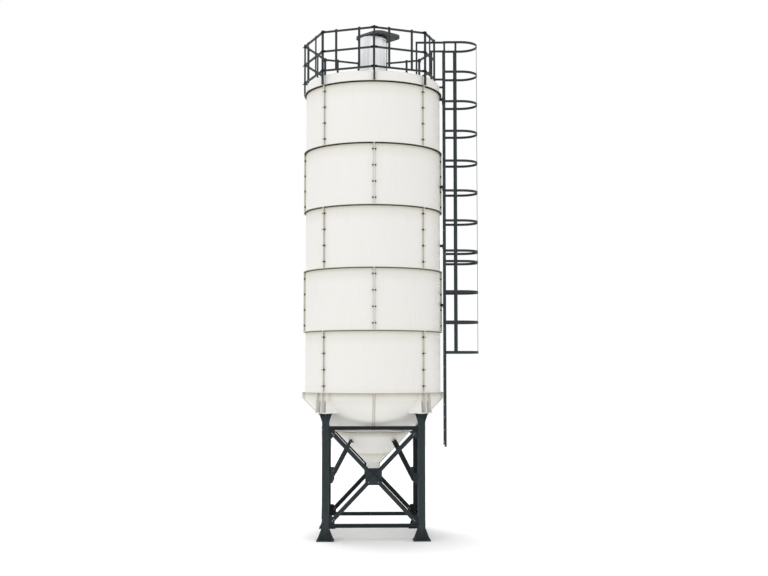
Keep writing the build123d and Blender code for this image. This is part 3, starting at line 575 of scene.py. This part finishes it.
def add_box(mesh: Mesh, place: Matrix, size: tuple[float, float, float], bevel: float) -> None:
    """Add a box with softened edges to a bmesh.

    Args:
        mesh: The bmesh.
        place: Where the box's centre goes, and how it is turned.
        size: Its lengths along its own axes.
        bevel: How wide its edges are cut.
    """
    made = bmesh.ops.create_cube(mesh, size=1.0, matrix=place @ Matrix.Diagonal((*size, 1.0)))
    edges = list({edge for vert in made["verts"] for edge in vert.link_edges})
    bmesh.ops.bevel(mesh, geom=edges, offset=bevel, segments=2, affect="EDGES", clamp_overlap=True)


def add_swept(mesh: Mesh, outline: list[tuple[float, float]], start: float, sweep: float, steps: int) -> None:
    """Sweep an outline round the silo's axis; a full turn closes on itself, less gets end caps.

    Args:
        mesh: The bmesh.
        outline: Radius and height of each of its points.
        start: Angle of its first end, in degrees.
        sweep: How far round it goes, in degrees.
        steps: How many steps it takes.
    """
    closed = sweep >= 360
    rings = [[mesh.verts.new(polar(radius, start + sweep * step / steps, z)) for radius, z in outline]
             for step in range(steps if closed else steps + 1)]
    for one, two in zip(rings, rings[1:] + (rings[:1] if closed else [])):
        for i in range(len(outline)):
            j = (i + 1) % len(outline)
            mesh.faces.new((one[i], two[i], two[j], one[j]))
    if not closed:
        mesh.faces.new(rings[0])
        mesh.faces.new(rings[-1])


def frame_at(origin: Vector, along: Vector) -> Matrix:
    """Matrix of a frame whose x runs along a direction and whose z is as near up as it can be.

    Args:
        origin: Where the frame is.
        along: The direction of its x axis.

    Returns:
        The 4 by 4 matrix.
    """
    x = along.normalized()
    y = UP.cross(x).normalized()
    return Matrix.Translation(origin) @ Matrix((x, y, x.cross(y))).transposed().to_4x4()


@dataclass(frozen=True)
class BoltSize:
    """Sizes of a hexagon bolt, its nut and washers, in metres."""

    flats: float
    head: float
    nut: float
    shank: float
    washer: float


M10 = BoltSize(0.017, 0.0064, 0.0084, 0.005, 0.010)
M12 = BoltSize(0.019, 0.0075, 0.0108, 0.006, 0.012)
M16 = BoltSize(0.024, 0.0100, 0.0148, 0.008, 0.015)
M20 = BoltSize(0.030, 0.0125, 0.0180, 0.010, 0.0185)
M24 = BoltSize(0.036, 0.0150, 0.0215, 0.012, 0.022)


class BoltTree:
    """Geometry nodes that put a hexagon bolt with washers and a nut on every point."""

    INPUTS = ("Flats", "Head", "Nut", "Shank", "Washer", "Grip", "Thread", "Stud")
    WASHER_PLATE = 0.003
    CHAMFER = 0.1
    CHAMFER_END = 0.8

    def __init__(self) -> None:
        """Build the tree once."""
        self.tree = bpy.data.node_groups.new("hexagon_bolts", "GeometryNodeTree")
        self.tree.is_modifier = True
        self.sockets = {}
        face = self.tree.interface
        face.new_socket("Geometry", in_out="INPUT", socket_type="NodeSocketGeometry")
        for name in (*self.INPUTS, "Finish"):
            kind = "NodeSocketMaterial" if name == "Finish" else "NodeSocketFloat"
            self.sockets[name] = face.new_socket(name, in_out="INPUT", socket_type=kind).identifier
        face.new_socket("Geometry", in_out="OUTPUT", socket_type="NodeSocketGeometry")
        value = add_node(self.tree, "NodeGroupInput").outputs
        joined = add_node(self.tree, "GeometryNodeJoinGeometry")
        for part in reversed(self.parts(value)):
            self.tree.links.new(part, joined.inputs[0])
        turn = add_node(self.tree, "GeometryNodeInputNamedAttribute", {"Name": "turn"},
                        data_type="FLOAT_VECTOR")
        rotation = add_node(self.tree, "FunctionNodeEulerToRotation", [turn.outputs["Attribute"]])
        on_points = add_node(self.tree, "GeometryNodeInstanceOnPoints", {
            "Points": value["Geometry"], "Instance": joined.outputs[0], "Rotation": rotation.outputs[0]})
        real = add_node(self.tree, "GeometryNodeRealizeInstances", [on_points.outputs[0]])
        dressed = add_node(self.tree, "GeometryNodeSetMaterial", {
            "Geometry": real.outputs[0], "Material": value["Finish"]})
        add_node(self.tree, "NodeGroupOutput", [dressed.outputs[0]])

    def parts(self, value: bpy.types.NodeOutputs) -> list[Socket]:
        """Add the parts of one bolt, whose head is on the upper side of what it holds.

        Args:
            value: The tree's inputs.

        Returns:
            The parts' sockets.
        """
        upper_face = self.length(0.0, value["Grip"], 0.5)
        lower_face = self.length(0.0, value["Grip"], -0.5)
        head_base = self.length(upper_face, self.WASHER_PLATE)
        head_top = self.length(head_base, value["Head"])
        nut_base = self.length(lower_face, self.WASHER_PLATE, -1.0)
        nut_top = self.length(nut_base, value["Nut"], -1.0)
        stud_end = self.length(upper_face, value["Stud"])
        thread_end = self.length(nut_top, value["Thread"], -1.0)
        corner = self.length(0.0, value["Flats"], 1 / math.sqrt(3))
        chamfer = self.length(0.0, value["Flats"], self.CHAMFER)
        return [
            self.prism(6, corner, head_base, head_top),
            self.chamfered(corner, chamfer, head_top, 0.0),
            self.prism(14, value["Washer"], upper_face, head_base),
            self.prism(14, value["Washer"], nut_base, lower_face),
            self.prism(6, corner, nut_top, nut_base),
            self.chamfered(corner, chamfer, nut_top, math.pi),
            self.prism(12, value["Shank"], thread_end, stud_end),
        ]

    def length(self, first: Socket | float, second: Socket | float, times: float = 1.0) -> Socket:
        """Add some times one length to another."""
        inputs = (second, times, first)
        return add_node(self.tree, "ShaderNodeMath", inputs, operation="MULTIPLY_ADD").outputs[0]

    def moved(self, shape: Socket, z: Socket, flip: float = 0.0) -> Socket:
        """Move a shape along the bolt's axis.

        Args:
            shape: The shape's socket.
            z: How far.
            flip: Half a turn about x, or none.

        Returns:
            The moved shape's socket.
        """
        offset = add_node(self.tree, "ShaderNodeCombineXYZ", {"Z": z}).outputs[0]
        return add_node(self.tree, "GeometryNodeTransform", {
            "Geometry": shape, "Translation": offset, "Rotation": (flip, 0.0, 0.0)}).outputs[0]

    def prism(self, sides: int, radius: Socket, low: Socket, high: Socket) -> Socket:
        """Add an upright prism.

        Args:
            sides: Number of its sides.
            radius: To its corners.
            low: Height of its lower end.
            high: Height of its upper end.

        Returns:
            The prism's socket.
        """
        depth = self.length(high, low, -1.0)
        made = add_node(self.tree, "GeometryNodeMeshCylinder", {
            "Vertices": sides, "Radius": radius, "Depth": depth})
        return self.moved(made.outputs[0], self.length(low, depth, 0.5))

    def chamfered(self, radius: Socket, depth: Socket, z: Socket, flip: float) -> Socket:
        """Add the chamfered end of a head or nut.

        Args:
            radius: At its wide end, to the corners.
            depth: Its height.
            z: Height of its wide end.
            flip: Half a turn where it points down.

        Returns:
            The cone's socket.
        """
        made = add_node(self.tree, "GeometryNodeMeshCone", {
            "Vertices": 6, "Radius Bottom": radius, "Radius Top": self.length(0.0, radius, self.CHAMFER_END),
            "Depth": depth})
        return self.moved(made.outputs[0], z, flip)

    def placed(self, name: str, sizes: Sequence[float], places: Spots, material: bpy.types.Material
               ) -> bpy.types.Object:
        """Put like bolts on their places as one plain mesh.

        Args:
            name: The piece's name.
            sizes: The values of the tree's inputs.
            places: Middle of the grip and direction of the head, for each bolt.
            material: What the bolts wear.

        Returns:
            The piece.
        """
        points = bpy.data.meshes.new(name + "_points")
        points.from_pydata([tuple(place) for place, _ in places], [], [])
        turns = points.attributes.new("turn", "FLOAT_VECTOR", "POINT")
        for index, (_, towards) in enumerate(places):
            turns.data[index].vector = towards.to_track_quat("Z", "Y").to_euler()
        seed = linked(name + "_points", points)
        modifier = seed.modifiers.new("bolts", "NODES")
        modifier.node_group = self.tree
        for key, given in zip((*self.INPUTS, "Finish"), (*sizes, material)):
            modifier[self.sockets[key]] = given
        data = bpy.data.meshes.new_from_object(seed.evaluated_get(bpy.context.evaluated_depsgraph_get()))
        data.name = name
        bpy.data.objects.remove(seed)
        return linked(name, data)


@dataclass
class Fittings:
    """What all sets of fittings share: the finishes and the tree that makes their bolts."""

    finishes: Finishes
    tree: BoltTree

    def piece(self, name: str, finish: Finish, mesh: Mesh) -> None:
        """Turn a bmesh into a dressed piece.

        Args:
            name: The piece's name.
            finish: What it wears.
            mesh: Its bmesh.
        """
        bmesh.ops.recalc_face_normals(mesh, faces=mesh.faces)
        self.finishes.wear(object_from(mesh, name), finish)

    def bolts(self, name: str, finish: Finish, size: BoltSize, places: Spots, grip: float, thread: float,
              stud: float = 0.0) -> None:
        """Make a set of like bolts as one dressed piece.

        Args:
            name: The piece's name.
            finish: What the bolts wear.
            size: The bolt's sizes.
            places: Middle of the grip and direction of the head, for each bolt.
            grip: Thickness of what it holds.
            thread: Length beyond the nut.
            stud: How far the shank stands out on the head's side too.
        """
        sizes = (*astuple(size), grip, thread, stud)
        self.finishes.wear(self.tree.placed(name, sizes, places, self.finishes.made[finish]), finish)


@dataclass
class ShellFittings(Fittings):
    """Bolts on the shell's upright seams, dark sealant under its rings as painted shade, and mastic on the
    roof's seams.
    """

    first_bolt: float = 0.145
    bolt_pitch: float = 0.347
    bolts_per_seam: int = 4
    grip: float = 0.016
    thread: float = 0.018
    seam_gap: float = 0.55
    bead: float = 0.009
    bead_rise: float = 0.6
    roof_foot: float = 0.010
    roof_edge: float = 0.180
    roof_knuckle: float = 0.055
    knuckle_turn: float = 78.0
    roof_slope: float = 12.0

    def seam_bolts(self) -> None:
        """Make the studs of all upright seams, with a nut on both sides."""
        places = [(polar(SEAM_RADIUS, angle, RING_Z[tier] + self.first_bolt + bolt * self.bolt_pitch),
                   polar(1, angle + 90))
                  for tier in range(5) for angle in seam_angles(tier) for bolt in range(self.bolts_per_seam)]
        stud = self.tree.WASHER_PLATE + M20.nut + self.thread
        # The studs wear dark black oxide steel, which partly stands for the shade round them: painted shade
        self.bolts("seam_bolts", Finish.ROD, replace(M20, head=M20.nut), places, self.grip, self.thread, stud)

    def ring_shade_sealant(self) -> None:
        """Make the beads of sealant in the corners under the ring joints, which stop short of the seams;
        their dark colour is painted shade under the flanges.
        """
        mesh = bmesh.new()
        upright = [(-0.006, -0.007), (0.031, -0.007), (0.026, -0.012), (0.014, -0.019), (0.004, -0.025),
                   (-0.006, -0.027)]
        for tier, z in enumerate(RING_Z[1:]):
            outline = [(SHELL_RADIUS + out, z + up) for out, up in upright]
            for angle in seam_angles(tier):
                add_swept(mesh, outline, angle + self.seam_gap, 90 - 2 * self.seam_gap, 45)
        # On the cone the bead leans inwards
        leaning = [(-0.014, -0.007), (0.016, -0.007), (0.012, -0.013), (-0.002, -0.022), (-0.016, -0.029),
                   (-0.036, -0.030)]
        outline = [(HOPPER_JOINT_RADIUS + out, HOPPER_JOINT_Z + up) for out, up in leaning]
        add_swept(mesh, outline, 0, 360, 180)
        self.piece("ring_shade_sealant", Finish.SEALANT, mesh)

    def roof_profile(self) -> list[tuple[float, float]]:
        """Follow the roof from the skirt's foot over its rounded edge up the cone.

        Returns:
            Radius and height of each point.
        """
        edge_z = RING_Z[5] + self.roof_edge
        profile = [(SHELL_RADIUS, RING_Z[5] + self.roof_foot), (SHELL_RADIUS, edge_z)]
        for step in range(1, 9):
            bend = polar(self.roof_knuckle, self.knuckle_turn * step / 8)
            profile.append((SHELL_RADIUS - self.roof_knuckle + bend.x, edge_z + bend.y))
        cone_radius, cone_z = profile[-1]
        slope = math.tan(math.radians(self.roof_slope))
        cone = [(radius, cone_z + (cone_radius - radius) * slope) for radius in (1.2, 0.9, 0.6, 0.36)]
        return profile + cone

    def roof_mastic(self) -> None:
        """Make the beads of mastic between the roof sectors."""
        mesh = bmesh.new()
        profile = self.roof_profile()
        for angle in DIAGONALS:
            side = polar(self.bead, angle + 90)
            rings = []
            for index, (radius, z) in enumerate(profile):
                before = profile[max(index - 1, 0)]
                after = profile[min(index + 1, len(profile) - 1)]
                run = Vector((after[0] - before[0], 0, after[1] - before[1])).normalized()
                out = (polar(run.z, angle) - UP * run.x) * self.bead * self.bead_rise
                rings.append([mesh.verts.new(polar(radius, angle, z) + side * across + out * rise)
                              for across, rise in ((-1, -0.3), (-0.7, 0.6), (0, 1), (0.7, 0.6), (1, -0.3))])
            for low, high in zip(rings, rings[1:]):
                for i in range(5):
                    j = (i + 1) % 5
                    mesh.faces.new((low[i], low[j], high[j], high[i]))
            mesh.faces.new(rings[0])
            mesh.faces.new(rings[-1])
        self.piece("roof_seam_mastic", Finish.MASTIC, mesh)

    def build(self) -> None:
        """Build the shell's fittings."""
        self.seam_bolts()
        self.ring_shade_sealant()
        self.roof_mastic()


@dataclass
class FrameFittings(Fittings):
    """Bolts of legs, beams, braces, struts and the hopper's joint."""

    anchor: float = 0.140
    anchor_z: float = 0.015
    head_bolt: float = 0.110
    head_joint_z: float = 2.6775
    inner_face: float = 0.945
    beam_line: float = 1.056
    beam_heights: tuple[float, float] = (2.367, 0.314)
    beam_bolt_reaches: tuple[float, float] = (0.042, 0.108)
    brace_centre_z: float = 1.3405
    brace_reach: tuple[float, float] = (0.854, 0.8965)
    brace_end_bolts: tuple[float, float] = (-0.016, 0.026)
    brace_off_middle: float = 0.006
    crossing_bolt: float = 0.158
    strut_foot: tuple[float, float] = (1.2484, 1.290)
    strut_head: tuple[float, float] = (0.7013, 2.0502)
    strut_bolts_along: tuple[float, float, float] = (-0.008, 0.037, -0.004)
    strut_off_middle: float = 0.008
    joint_bolts: int = 24
    joint_bolt_radius: float = 0.874

    def legs(self) -> list[Vector]:
        """List where the four legs stand."""
        return [Vector((x * LEG_OFFSET, y * LEG_OFFSET, 0)) for x in SIDES for y in SIDES]

    def anchors(self) -> None:
        """Make the anchor studs' nuts and washers on the four feet."""
        places = [(leg + Vector((x * self.anchor, y * self.anchor, self.anchor_z)), -UP)
                  for leg in self.legs() for x in SIDES for y in SIDES]
        self.bolts("anchor_nuts", Finish.FRAME, replace(M24, head=0.0005), places, grip=0.014, thread=0.028)

    def head_bolts(self) -> None:
        """Make the bolts that join the leg heads to the consoles, between the consoles' ribs."""
        places = [(leg + Vector((x * self.head_bolt, y * self.head_bolt, self.head_joint_z)), -UP)
                  for leg in self.legs() for x, y in ((1, 0), (-1, 0), (0, 1), (0, -1))]
        self.bolts("leg_head_bolts", Finish.ZINC, M16, places, grip=0.035, thread=0.010)

    def brace_bolts(self) -> None:
        """Make the bolts of the braces; the upper two at each crossing are painted with the plate."""
        places = []
        painted = []
        length = math.hypot(*self.brace_reach)
        middle = Vector((0, -self.beam_line - 0.004, self.brace_centre_z))
        for x, z in ((x, z) for x in SIDES for z in SIDES):
            along = Vector((x * self.brace_reach[0], 0, z * self.brace_reach[1])) / length
            # Off the middle of the flat leg, away from the standing one
            line = middle + Vector((along.z, 0, -along.x)) * x * self.brace_off_middle
            ends = [line + along * (length + reach) for reach in self.brace_end_bolts]
            crossing = line + along * self.crossing_bolt
            for spin in QUARTER_TURNS:
                outwards = spin @ Vector((0, -1, 0))
                places += [(spin @ spot, outwards) for spot in ends]
                (painted if z > 0 else places).append((spin @ crossing, outwards))
        self.bolts("crossing_bolts", Finish.FRAME, M16, painted, grip=0.016, thread=0.008)
        self.bolts("brace_bolts", Finish.ZINC, M16, places, grip=0.016, thread=0.008)

    def beam_bolts(self) -> None:
        """Make the bolts at the ends of the level beams."""
        spots = [Vector((side * (self.inner_face - reach), -self.beam_line, z))
                 for z in self.beam_heights for side in SIDES for reach in self.beam_bolt_reaches]
        places = [(spin @ spot, spin @ Vector((0, -1, 0))) for spin in QUARTER_TURNS for spot in spots]
        self.bolts("beam_bolts", Finish.FRAME, M16, places, grip=0.078, thread=0.008)

    def strut_bolts(self) -> None:
        """Make the bolts at both ends of the hopper's struts, two at the foot and one at the head."""
        foot = Vector(self.strut_foot)
        head = Vector(self.strut_head)
        along = (head - foot).normalized()
        clear = Vector((-along.y, along.x)) * self.strut_off_middle
        ends = (foot, foot, head)
        spots = [end - clear + along * reach for end, reach in zip(ends, self.strut_bolts_along)]
        places = []
        for angle in DIAGONALS:
            sideways = polar(1, angle - 90)
            places += [(polar(spot.x, angle, spot.y) + sideways * 0.0035, -sideways) for spot in spots]
        self.bolts("strut_bolts", Finish.ZINC, M12, places, grip=0.014, thread=0.006)

    def hopper_joint_bolts(self) -> None:
        """Make the painted bolts round the joint between the hopper's two courses."""
        step = 360 / self.joint_bolts
        places = [(polar(self.joint_bolt_radius, (bolt + 0.5) * step, HOPPER_JOINT_Z), UP)
                  for bolt in range(self.joint_bolts)]
        self.bolts("hopper_joint_bolts", Finish.SHELL, M12, places, grip=0.016, thread=0.004)

    def build(self) -> None:
        """Build the frame's fittings."""
        self.anchors()
        self.head_bolts()
        self.brace_bolts()
        self.beam_bolts()
        self.strut_bolts()
        self.hopper_joint_bolts()


@dataclass
class LadderFittings(Fittings):
    """Bolts and splice plates of the ladder, its cage and its brackets."""

    stringer_depth: float = 0.042
    stringer_width: float = 0.020
    hoop_plate: float = 0.008
    side_strap: float = 0.271
    far_strap: float = 0.757
    first_rung_z: float = 1.990
    rung_pitch: float = 0.280
    rungs: int = 32
    nut_room: float = 0.025
    splice_z: float = 6.110
    splice_height: float = 0.160
    splice_bolts: tuple[float, ...] = (-0.055, -0.022, 0.022, 0.055)
    pad_heights: tuple[float, ...] = (5.0119, 6.3419, 7.6719, 9.666)
    pad_bolt_side: float = 0.034
    pad_middle: float = 0.002
    bracket_bar: float = 0.056
    thread: float = 0.003

    def at(self, radial: float, sideways: float, z: float) -> Vector:
        """Point in the ladder's own directions."""
        turn = math.degrees(LADDER_TURN)
        return polar(radial, turn, z) + polar(sideways, turn + 90)

    def on_stringer(self, sideways: float, z: float) -> Vector:
        """Point halfway through the stringers' depth, this far to the side of the ladder's middle."""
        return self.at(LADDER_RADIUS + self.stringer_depth / 2, sideways, z)

    def clear_of_rungs(self, z: float) -> float:
        """Move a height away from the nearest rung, so that a nut has room.

        Args:
            z: The height that the bolt would have.

        Returns:
            The height it gets.
        """
        nearest = self.first_rung_z + round((z - self.first_rung_z) / self.rung_pitch) * self.rung_pitch
        short = self.nut_room - abs(z - nearest)
        return z if short <= 0 else z + math.copysign(short, z - nearest)

    def stringer_bolts(self, name: str, finish: Finish, heights: list[float]) -> None:
        """Make bolts through the stringers and a hoop or plate on their outer sides.

        Args:
            name: The piece's name.
            finish: What the bolts wear.
            heights: Where they are.
        """
        grip = self.stringer_width + self.hoop_plate
        reach = STRINGER_SIDE + self.hoop_plate - grip / 2
        places = [(self.on_stringer(side * reach, z), self.at(0, side, 0)) for z in heights for side in SIDES]
        self.bolts(name, finish, M10, places, grip, self.thread)

    def strap_bolts(self) -> None:
        """Make the bolts that hold the straps in the hoops; the far ones have countersunk heads."""
        far = [(self.at(LADDER_RADIUS + self.far_strap, 0, z), self.at(1, 0, 0)) for z in HOOP_HEIGHTS]
        flush = replace(M10, flats=0.010, head=0.001)
        self.bolts("far_strap_bolts", Finish.LADDER, flush, far, 0.0055, self.thread)
        places = [(self.at(LADDER_RADIUS + self.side_strap, side * STRINGER_SIDE, z), self.at(0, side, 0))
                  for z in HOOP_HEIGHTS for side in SIDES]
        self.bolts("strap_bolts", Finish.LADDER, M10, places, 0.016, self.thread)

    def splices(self) -> None:
        """Make the plates that join the ladder's two sections."""
        mesh = bmesh.new()
        for side in SIDES:
            spot = self.on_stringer(side * (STRINGER_SIDE + self.hoop_plate / 2), self.splice_z)
            size = (self.stringer_depth - 0.004, self.hoop_plate, self.splice_height)
            add_box(mesh, frame_at(spot, self.at(1, 0, 0)), size, bevel=0.0012)
        self.piece("ladder_splices", Finish.LADDER, mesh)

    def pad_bolts(self) -> None:
        """Make the bolts that hold the bracket pads on the shell."""
        places = []
        for z in self.pad_heights:
            for side in SIDES:
                turn = math.degrees(LADDER_TURN + side * self.pad_bolt_side / SHELL_RADIUS)
                spot = polar(SHELL_RADIUS + self.pad_middle, turn, z + self.bracket_bar / 2)
                places.append((spot, polar(1, turn)))
        self.bolts("bracket_bolts", Finish.LADDER, M10, places, 0.012, self.thread)

    def rung_ends(self) -> None:
        """Make the ground plug welds where the rungs come through the stringers."""
        mesh = bmesh.new()
        upright = Matrix.Rotation(math.radians(90), 4, "Y")
        for rung in range(self.rungs):
            for side in SIDES:
                spot = self.on_stringer(side * STRINGER_SIDE, self.first_rung_z + rung * self.rung_pitch)
                place = frame_at(spot, self.at(0, side, 0)) @ upright
                bmesh.ops.create_cone(mesh, cap_ends=True, segments=16, radius1=0.012, radius2=0.0095,
                                      depth=0.005, matrix=place)
        self.piece("rung_end_welds", Finish.LADDER, mesh)

    def build(self) -> None:
        """Build the ladder's fittings."""
        self.rung_ends()
        self.stringer_bolts("hoop_bolts", Finish.LADDER, [self.clear_of_rungs(z) for z in HOOP_HEIGHTS])
        self.strap_bolts()
        self.splices()
        self.stringer_bolts("splice_bolts", Finish.ZINC, [self.splice_z + up for up in self.splice_bolts])
        self.pad_bolts()


@dataclass
class GuardFittings(Fittings):
    """Bent joint plates and bolts at the corners of the roof's guard rail."""

    levels: tuple[float, ...] = (0.304, 0.724, 1.150)
    radii: tuple[float, float] = (1.540, 1.573)
    rail: float = 0.038
    plate: float = 0.006
    plate_length: float = 0.066
    plate_height: float = 0.052
    bolt_reach: float = 0.048

    def corner(self, index: int) -> Vector:
        """Corner of the octagon, counted anticlockwise from the ladder."""
        return polar(self.radii[index % 2], index * 45, RING_Z[5])

    def wings(self) -> list[tuple[Vector, Vector, Vector]]:
        """Find the wings of all joint plates.

        Returns:
            Each one's corner, its direction along the rail and its outward normal.
        """
        found = []
        for index in range(1, 8):
            corner = self.corner(index)
            for way in SIDES:
                along = (self.corner((index + way) % 8) - corner).normalized()
                found += [(corner + UP * level, along, along.cross(UP) * way) for level in self.levels]
        return found

    def plates(self) -> None:
        """Make the bent plates."""
        mesh = bmesh.new()
        middle_gap = (self.rail + self.plate) / 2
        # The two wings meet on the corner's own line
        meet = math.tan(math.radians(22.5)) * middle_gap
        length = self.plate_length + meet
        for corner, along, outwards in self.wings():
            middle = corner + outwards * middle_gap + along * (length / 2 - meet)
            add_box(mesh, frame_at(middle, along), (length, self.plate, self.plate_height), bevel=0.0012)
        self.piece("guard_joint_plates", Finish.JOINT, mesh)

    def build(self) -> None:
        """Build the guard rail's fittings."""
        self.plates()
        places = [(corner + outwards * self.plate / 2 + along * self.bolt_reach, outwards)
                  for corner, along, outwards in self.wings()]
        self.bolts("guard_bolts", Finish.JOINT, M10, places, grip=self.rail + self.plate, thread=0.003)


@dataclass
class FilterFittings(Fittings):
    """Clamp ring, catches and rod nuts of the filter on the roof."""

    radius: float = 0.300
    top_z: float = 11.085
    rod_radius: float = 0.314
    collar_top_z: float = 10.2995
    hood_under_z: float = 11.113
    ring_height: float = 0.030
    ring_drop: float = 0.012
    ring_start: float = -70.0
    ring_sweep: float = 352.0
    catch_reach: float = 0.0135
    catch_size: tuple[float, float, float] = (0.004, 0.022, 0.026)
    nut_grip: float = 0.024

    def clamp_ring(self) -> None:
        """Make the rolled ring that clamps the lid on the drum, with a gap at its catch."""
        mesh = bmesh.new()
        low = self.top_z - self.ring_drop - self.ring_height
        rolled = [(0.0005, 0.0), (0.0045, 0.004), (0.0060, 0.015), (0.0045, 0.026),
                  (0.0005, self.ring_height)]
        outline = [(self.radius + out, low + up) for out, up in rolled]
        add_swept(mesh, outline, self.ring_start, self.ring_sweep, 96)
        for angle in (self.ring_start, self.ring_start + self.ring_sweep):
            spot = polar(self.radius + self.catch_reach, angle, low + self.ring_height / 2)
            add_box(mesh, frame_at(spot, polar(1, angle + 90)), self.catch_size, bevel=0.0008)
        self.piece("filter_clamp_ring", Finish.FILTER, mesh)

    def rod_nuts(self) -> None:
        """Make the nuts at both ends of the tie rods."""
        size = replace(M16, head=M16.nut, nut=0.004, shank=0.006)
        places = []
        for angle in (0, 90, 180, 270):
            places.append((polar(self.rod_radius, angle, self.collar_top_z - self.nut_grip / 2), UP))
            places.append((polar(self.rod_radius, angle, self.hood_under_z + self.nut_grip / 2), -UP))
        self.bolts("rod_nuts", Finish.ZINC, size, places, self.nut_grip, thread=0.001)

    def build(self) -> None:
        """Build the filter's fittings."""
        self.clamp_ring()
        self.rod_nuts()


@dataclass
class Studio:
    """Floor, backdrop, lights and camera."""

    floor_size: float = 60.0
    floor_colour: tuple[float, float, float, float] = (0.70, 0.695, 0.685, 1.0)
    white: tuple[float, float, float, float] = (1.0, 1.0, 1.0, 1.0)
    sun_strength: float = 1.0
    sun_spread: float = 17.0
    sun_course: tuple[float, float, float] = (0.06, -0.18, -1.0)
    world_strength: float = 0.84
    key_strength: float = 0.34
    key_side: tuple[float, float, float] = (-0.50, -0.85, 0.15)
    under_fill: float = 74.0
    under_fill_size: float = 6.0
    under_fill_z: float = 0.03
    lens: float = 54.458
    camera_place: tuple[float, float, float] = (-0.437, -25.905, 3.554)
    camera_pitch: float = 94.136
    camera_turn: float = -1.515

    def floor(self) -> None:
        """Make the pale floor, which keeps the silo's shadow."""
        mesh = bmesh.new()
        half = self.floor_size / 2
        corners = ((-half, -half, 0.0), (half, -half, 0.0), (half, half, 0.0), (-half, half, 0.0))
        mesh.faces.new([mesh.verts.new(corner) for corner in corners])
        piece = object_from(mesh, "floor")
        material = bpy.data.materials.new("pale_floor")
        material.use_nodes = True
        tree = material.node_tree
        tree.nodes.clear()
        colour = add_node(tree, "ShaderNodeMix", {0: seen_rays(tree), 6: self.floor_colour, 7: self.white},
                          data_type="RGBA")
        shader = add_node(tree, "ShaderNodeBsdfDiffuse", [colour.outputs[2]])
        add_node(tree, "ShaderNodeOutputMaterial", [shader.outputs[0]])
        piece.data.materials.append(material)

    def world(self) -> None:
        """Make the white background, the even light and the broad key from the front left."""
        world = bpy.data.worlds.new("studio")
        world.use_nodes = True
        tree = world.node_tree
        tree.nodes.clear()
        direction = add_node(tree, "ShaderNodeTexCoord").outputs["Generated"]
        towards = add_node(tree, "ShaderNodeVectorMath", (direction, self.key_side), operation="DOT_PRODUCT")
        strengths = {"To Min": self.world_strength, "To Max": self.world_strength + self.key_strength}
        glow = add_node(tree, "ShaderNodeMapRange", {"Value": towards.outputs["Value"], **strengths},
                        interpolation_type="SMOOTHSTEP")
        soft = add_node(tree, "ShaderNodeBackground", (self.white, glow.outputs["Result"]))
        white = add_node(tree, "ShaderNodeBackground", (self.white, 1.0))
        mixed = add_node(tree, "ShaderNodeMixShader", (seen_rays(tree), soft.outputs[0], white.outputs[0]))
        add_node(tree, "ShaderNodeOutputWorld", [mixed.outputs[0]])
        bpy.context.scene.world = world

    def lamps(self) -> None:
        """Make the wide top light, a little from behind, and the fill in place of light off the floor."""
        top = bpy.data.lights.new("top", "SUN")
        top.energy = self.sun_strength
        top.angle = math.radians(self.sun_spread)
        linked("top", top).rotation_euler = Vector(self.sun_course).to_track_quat("-Z", "Y").to_euler()
        under = bpy.data.lights.new("under_fill", "AREA")
        under.energy = self.under_fill
        under.size = self.under_fill_size
        fill = linked("under_fill", under)
        fill.location = (0.0, 0.0, self.under_fill_z)
        fill.rotation_euler = (math.pi, 0.0, 0.0)
        fill.visible_camera = False
        fill.visible_glossy = False

    def camera(self) -> None:
        """Place the camera where the photograph was taken from."""
        data = bpy.data.cameras.new("camera")
        data.sensor_width = 36.0
        data.lens = self.lens
        data.clip_end = 200.0
        camera = linked("camera", data)
        camera.location = self.camera_place
        camera.rotation_euler = (math.radians(self.camera_pitch), 0.0, math.radians(self.camera_turn))
        bpy.context.scene.camera = camera
        bpy.context.scene.view_settings.view_transform = "Standard"

    def build(self) -> None:
        """Build the studio."""
        self.floor()
        self.world()
        self.lamps()
        self.camera()


def main() -> None:
    """Build the pieces in order."""
    logging.basicConfig(level=logging.INFO, format="%(message)s")
    Studio().build()
    finishes = Finishes()
    finishes.build()
    finishes.dress_nodes()
    tree = BoltTree()
    for fittings in (ShellFittings, FrameFittings, LadderFittings, GuardFittings, FilterFittings):
        fittings(finishes, tree).build()


if __name__ == "__main__":
    main()
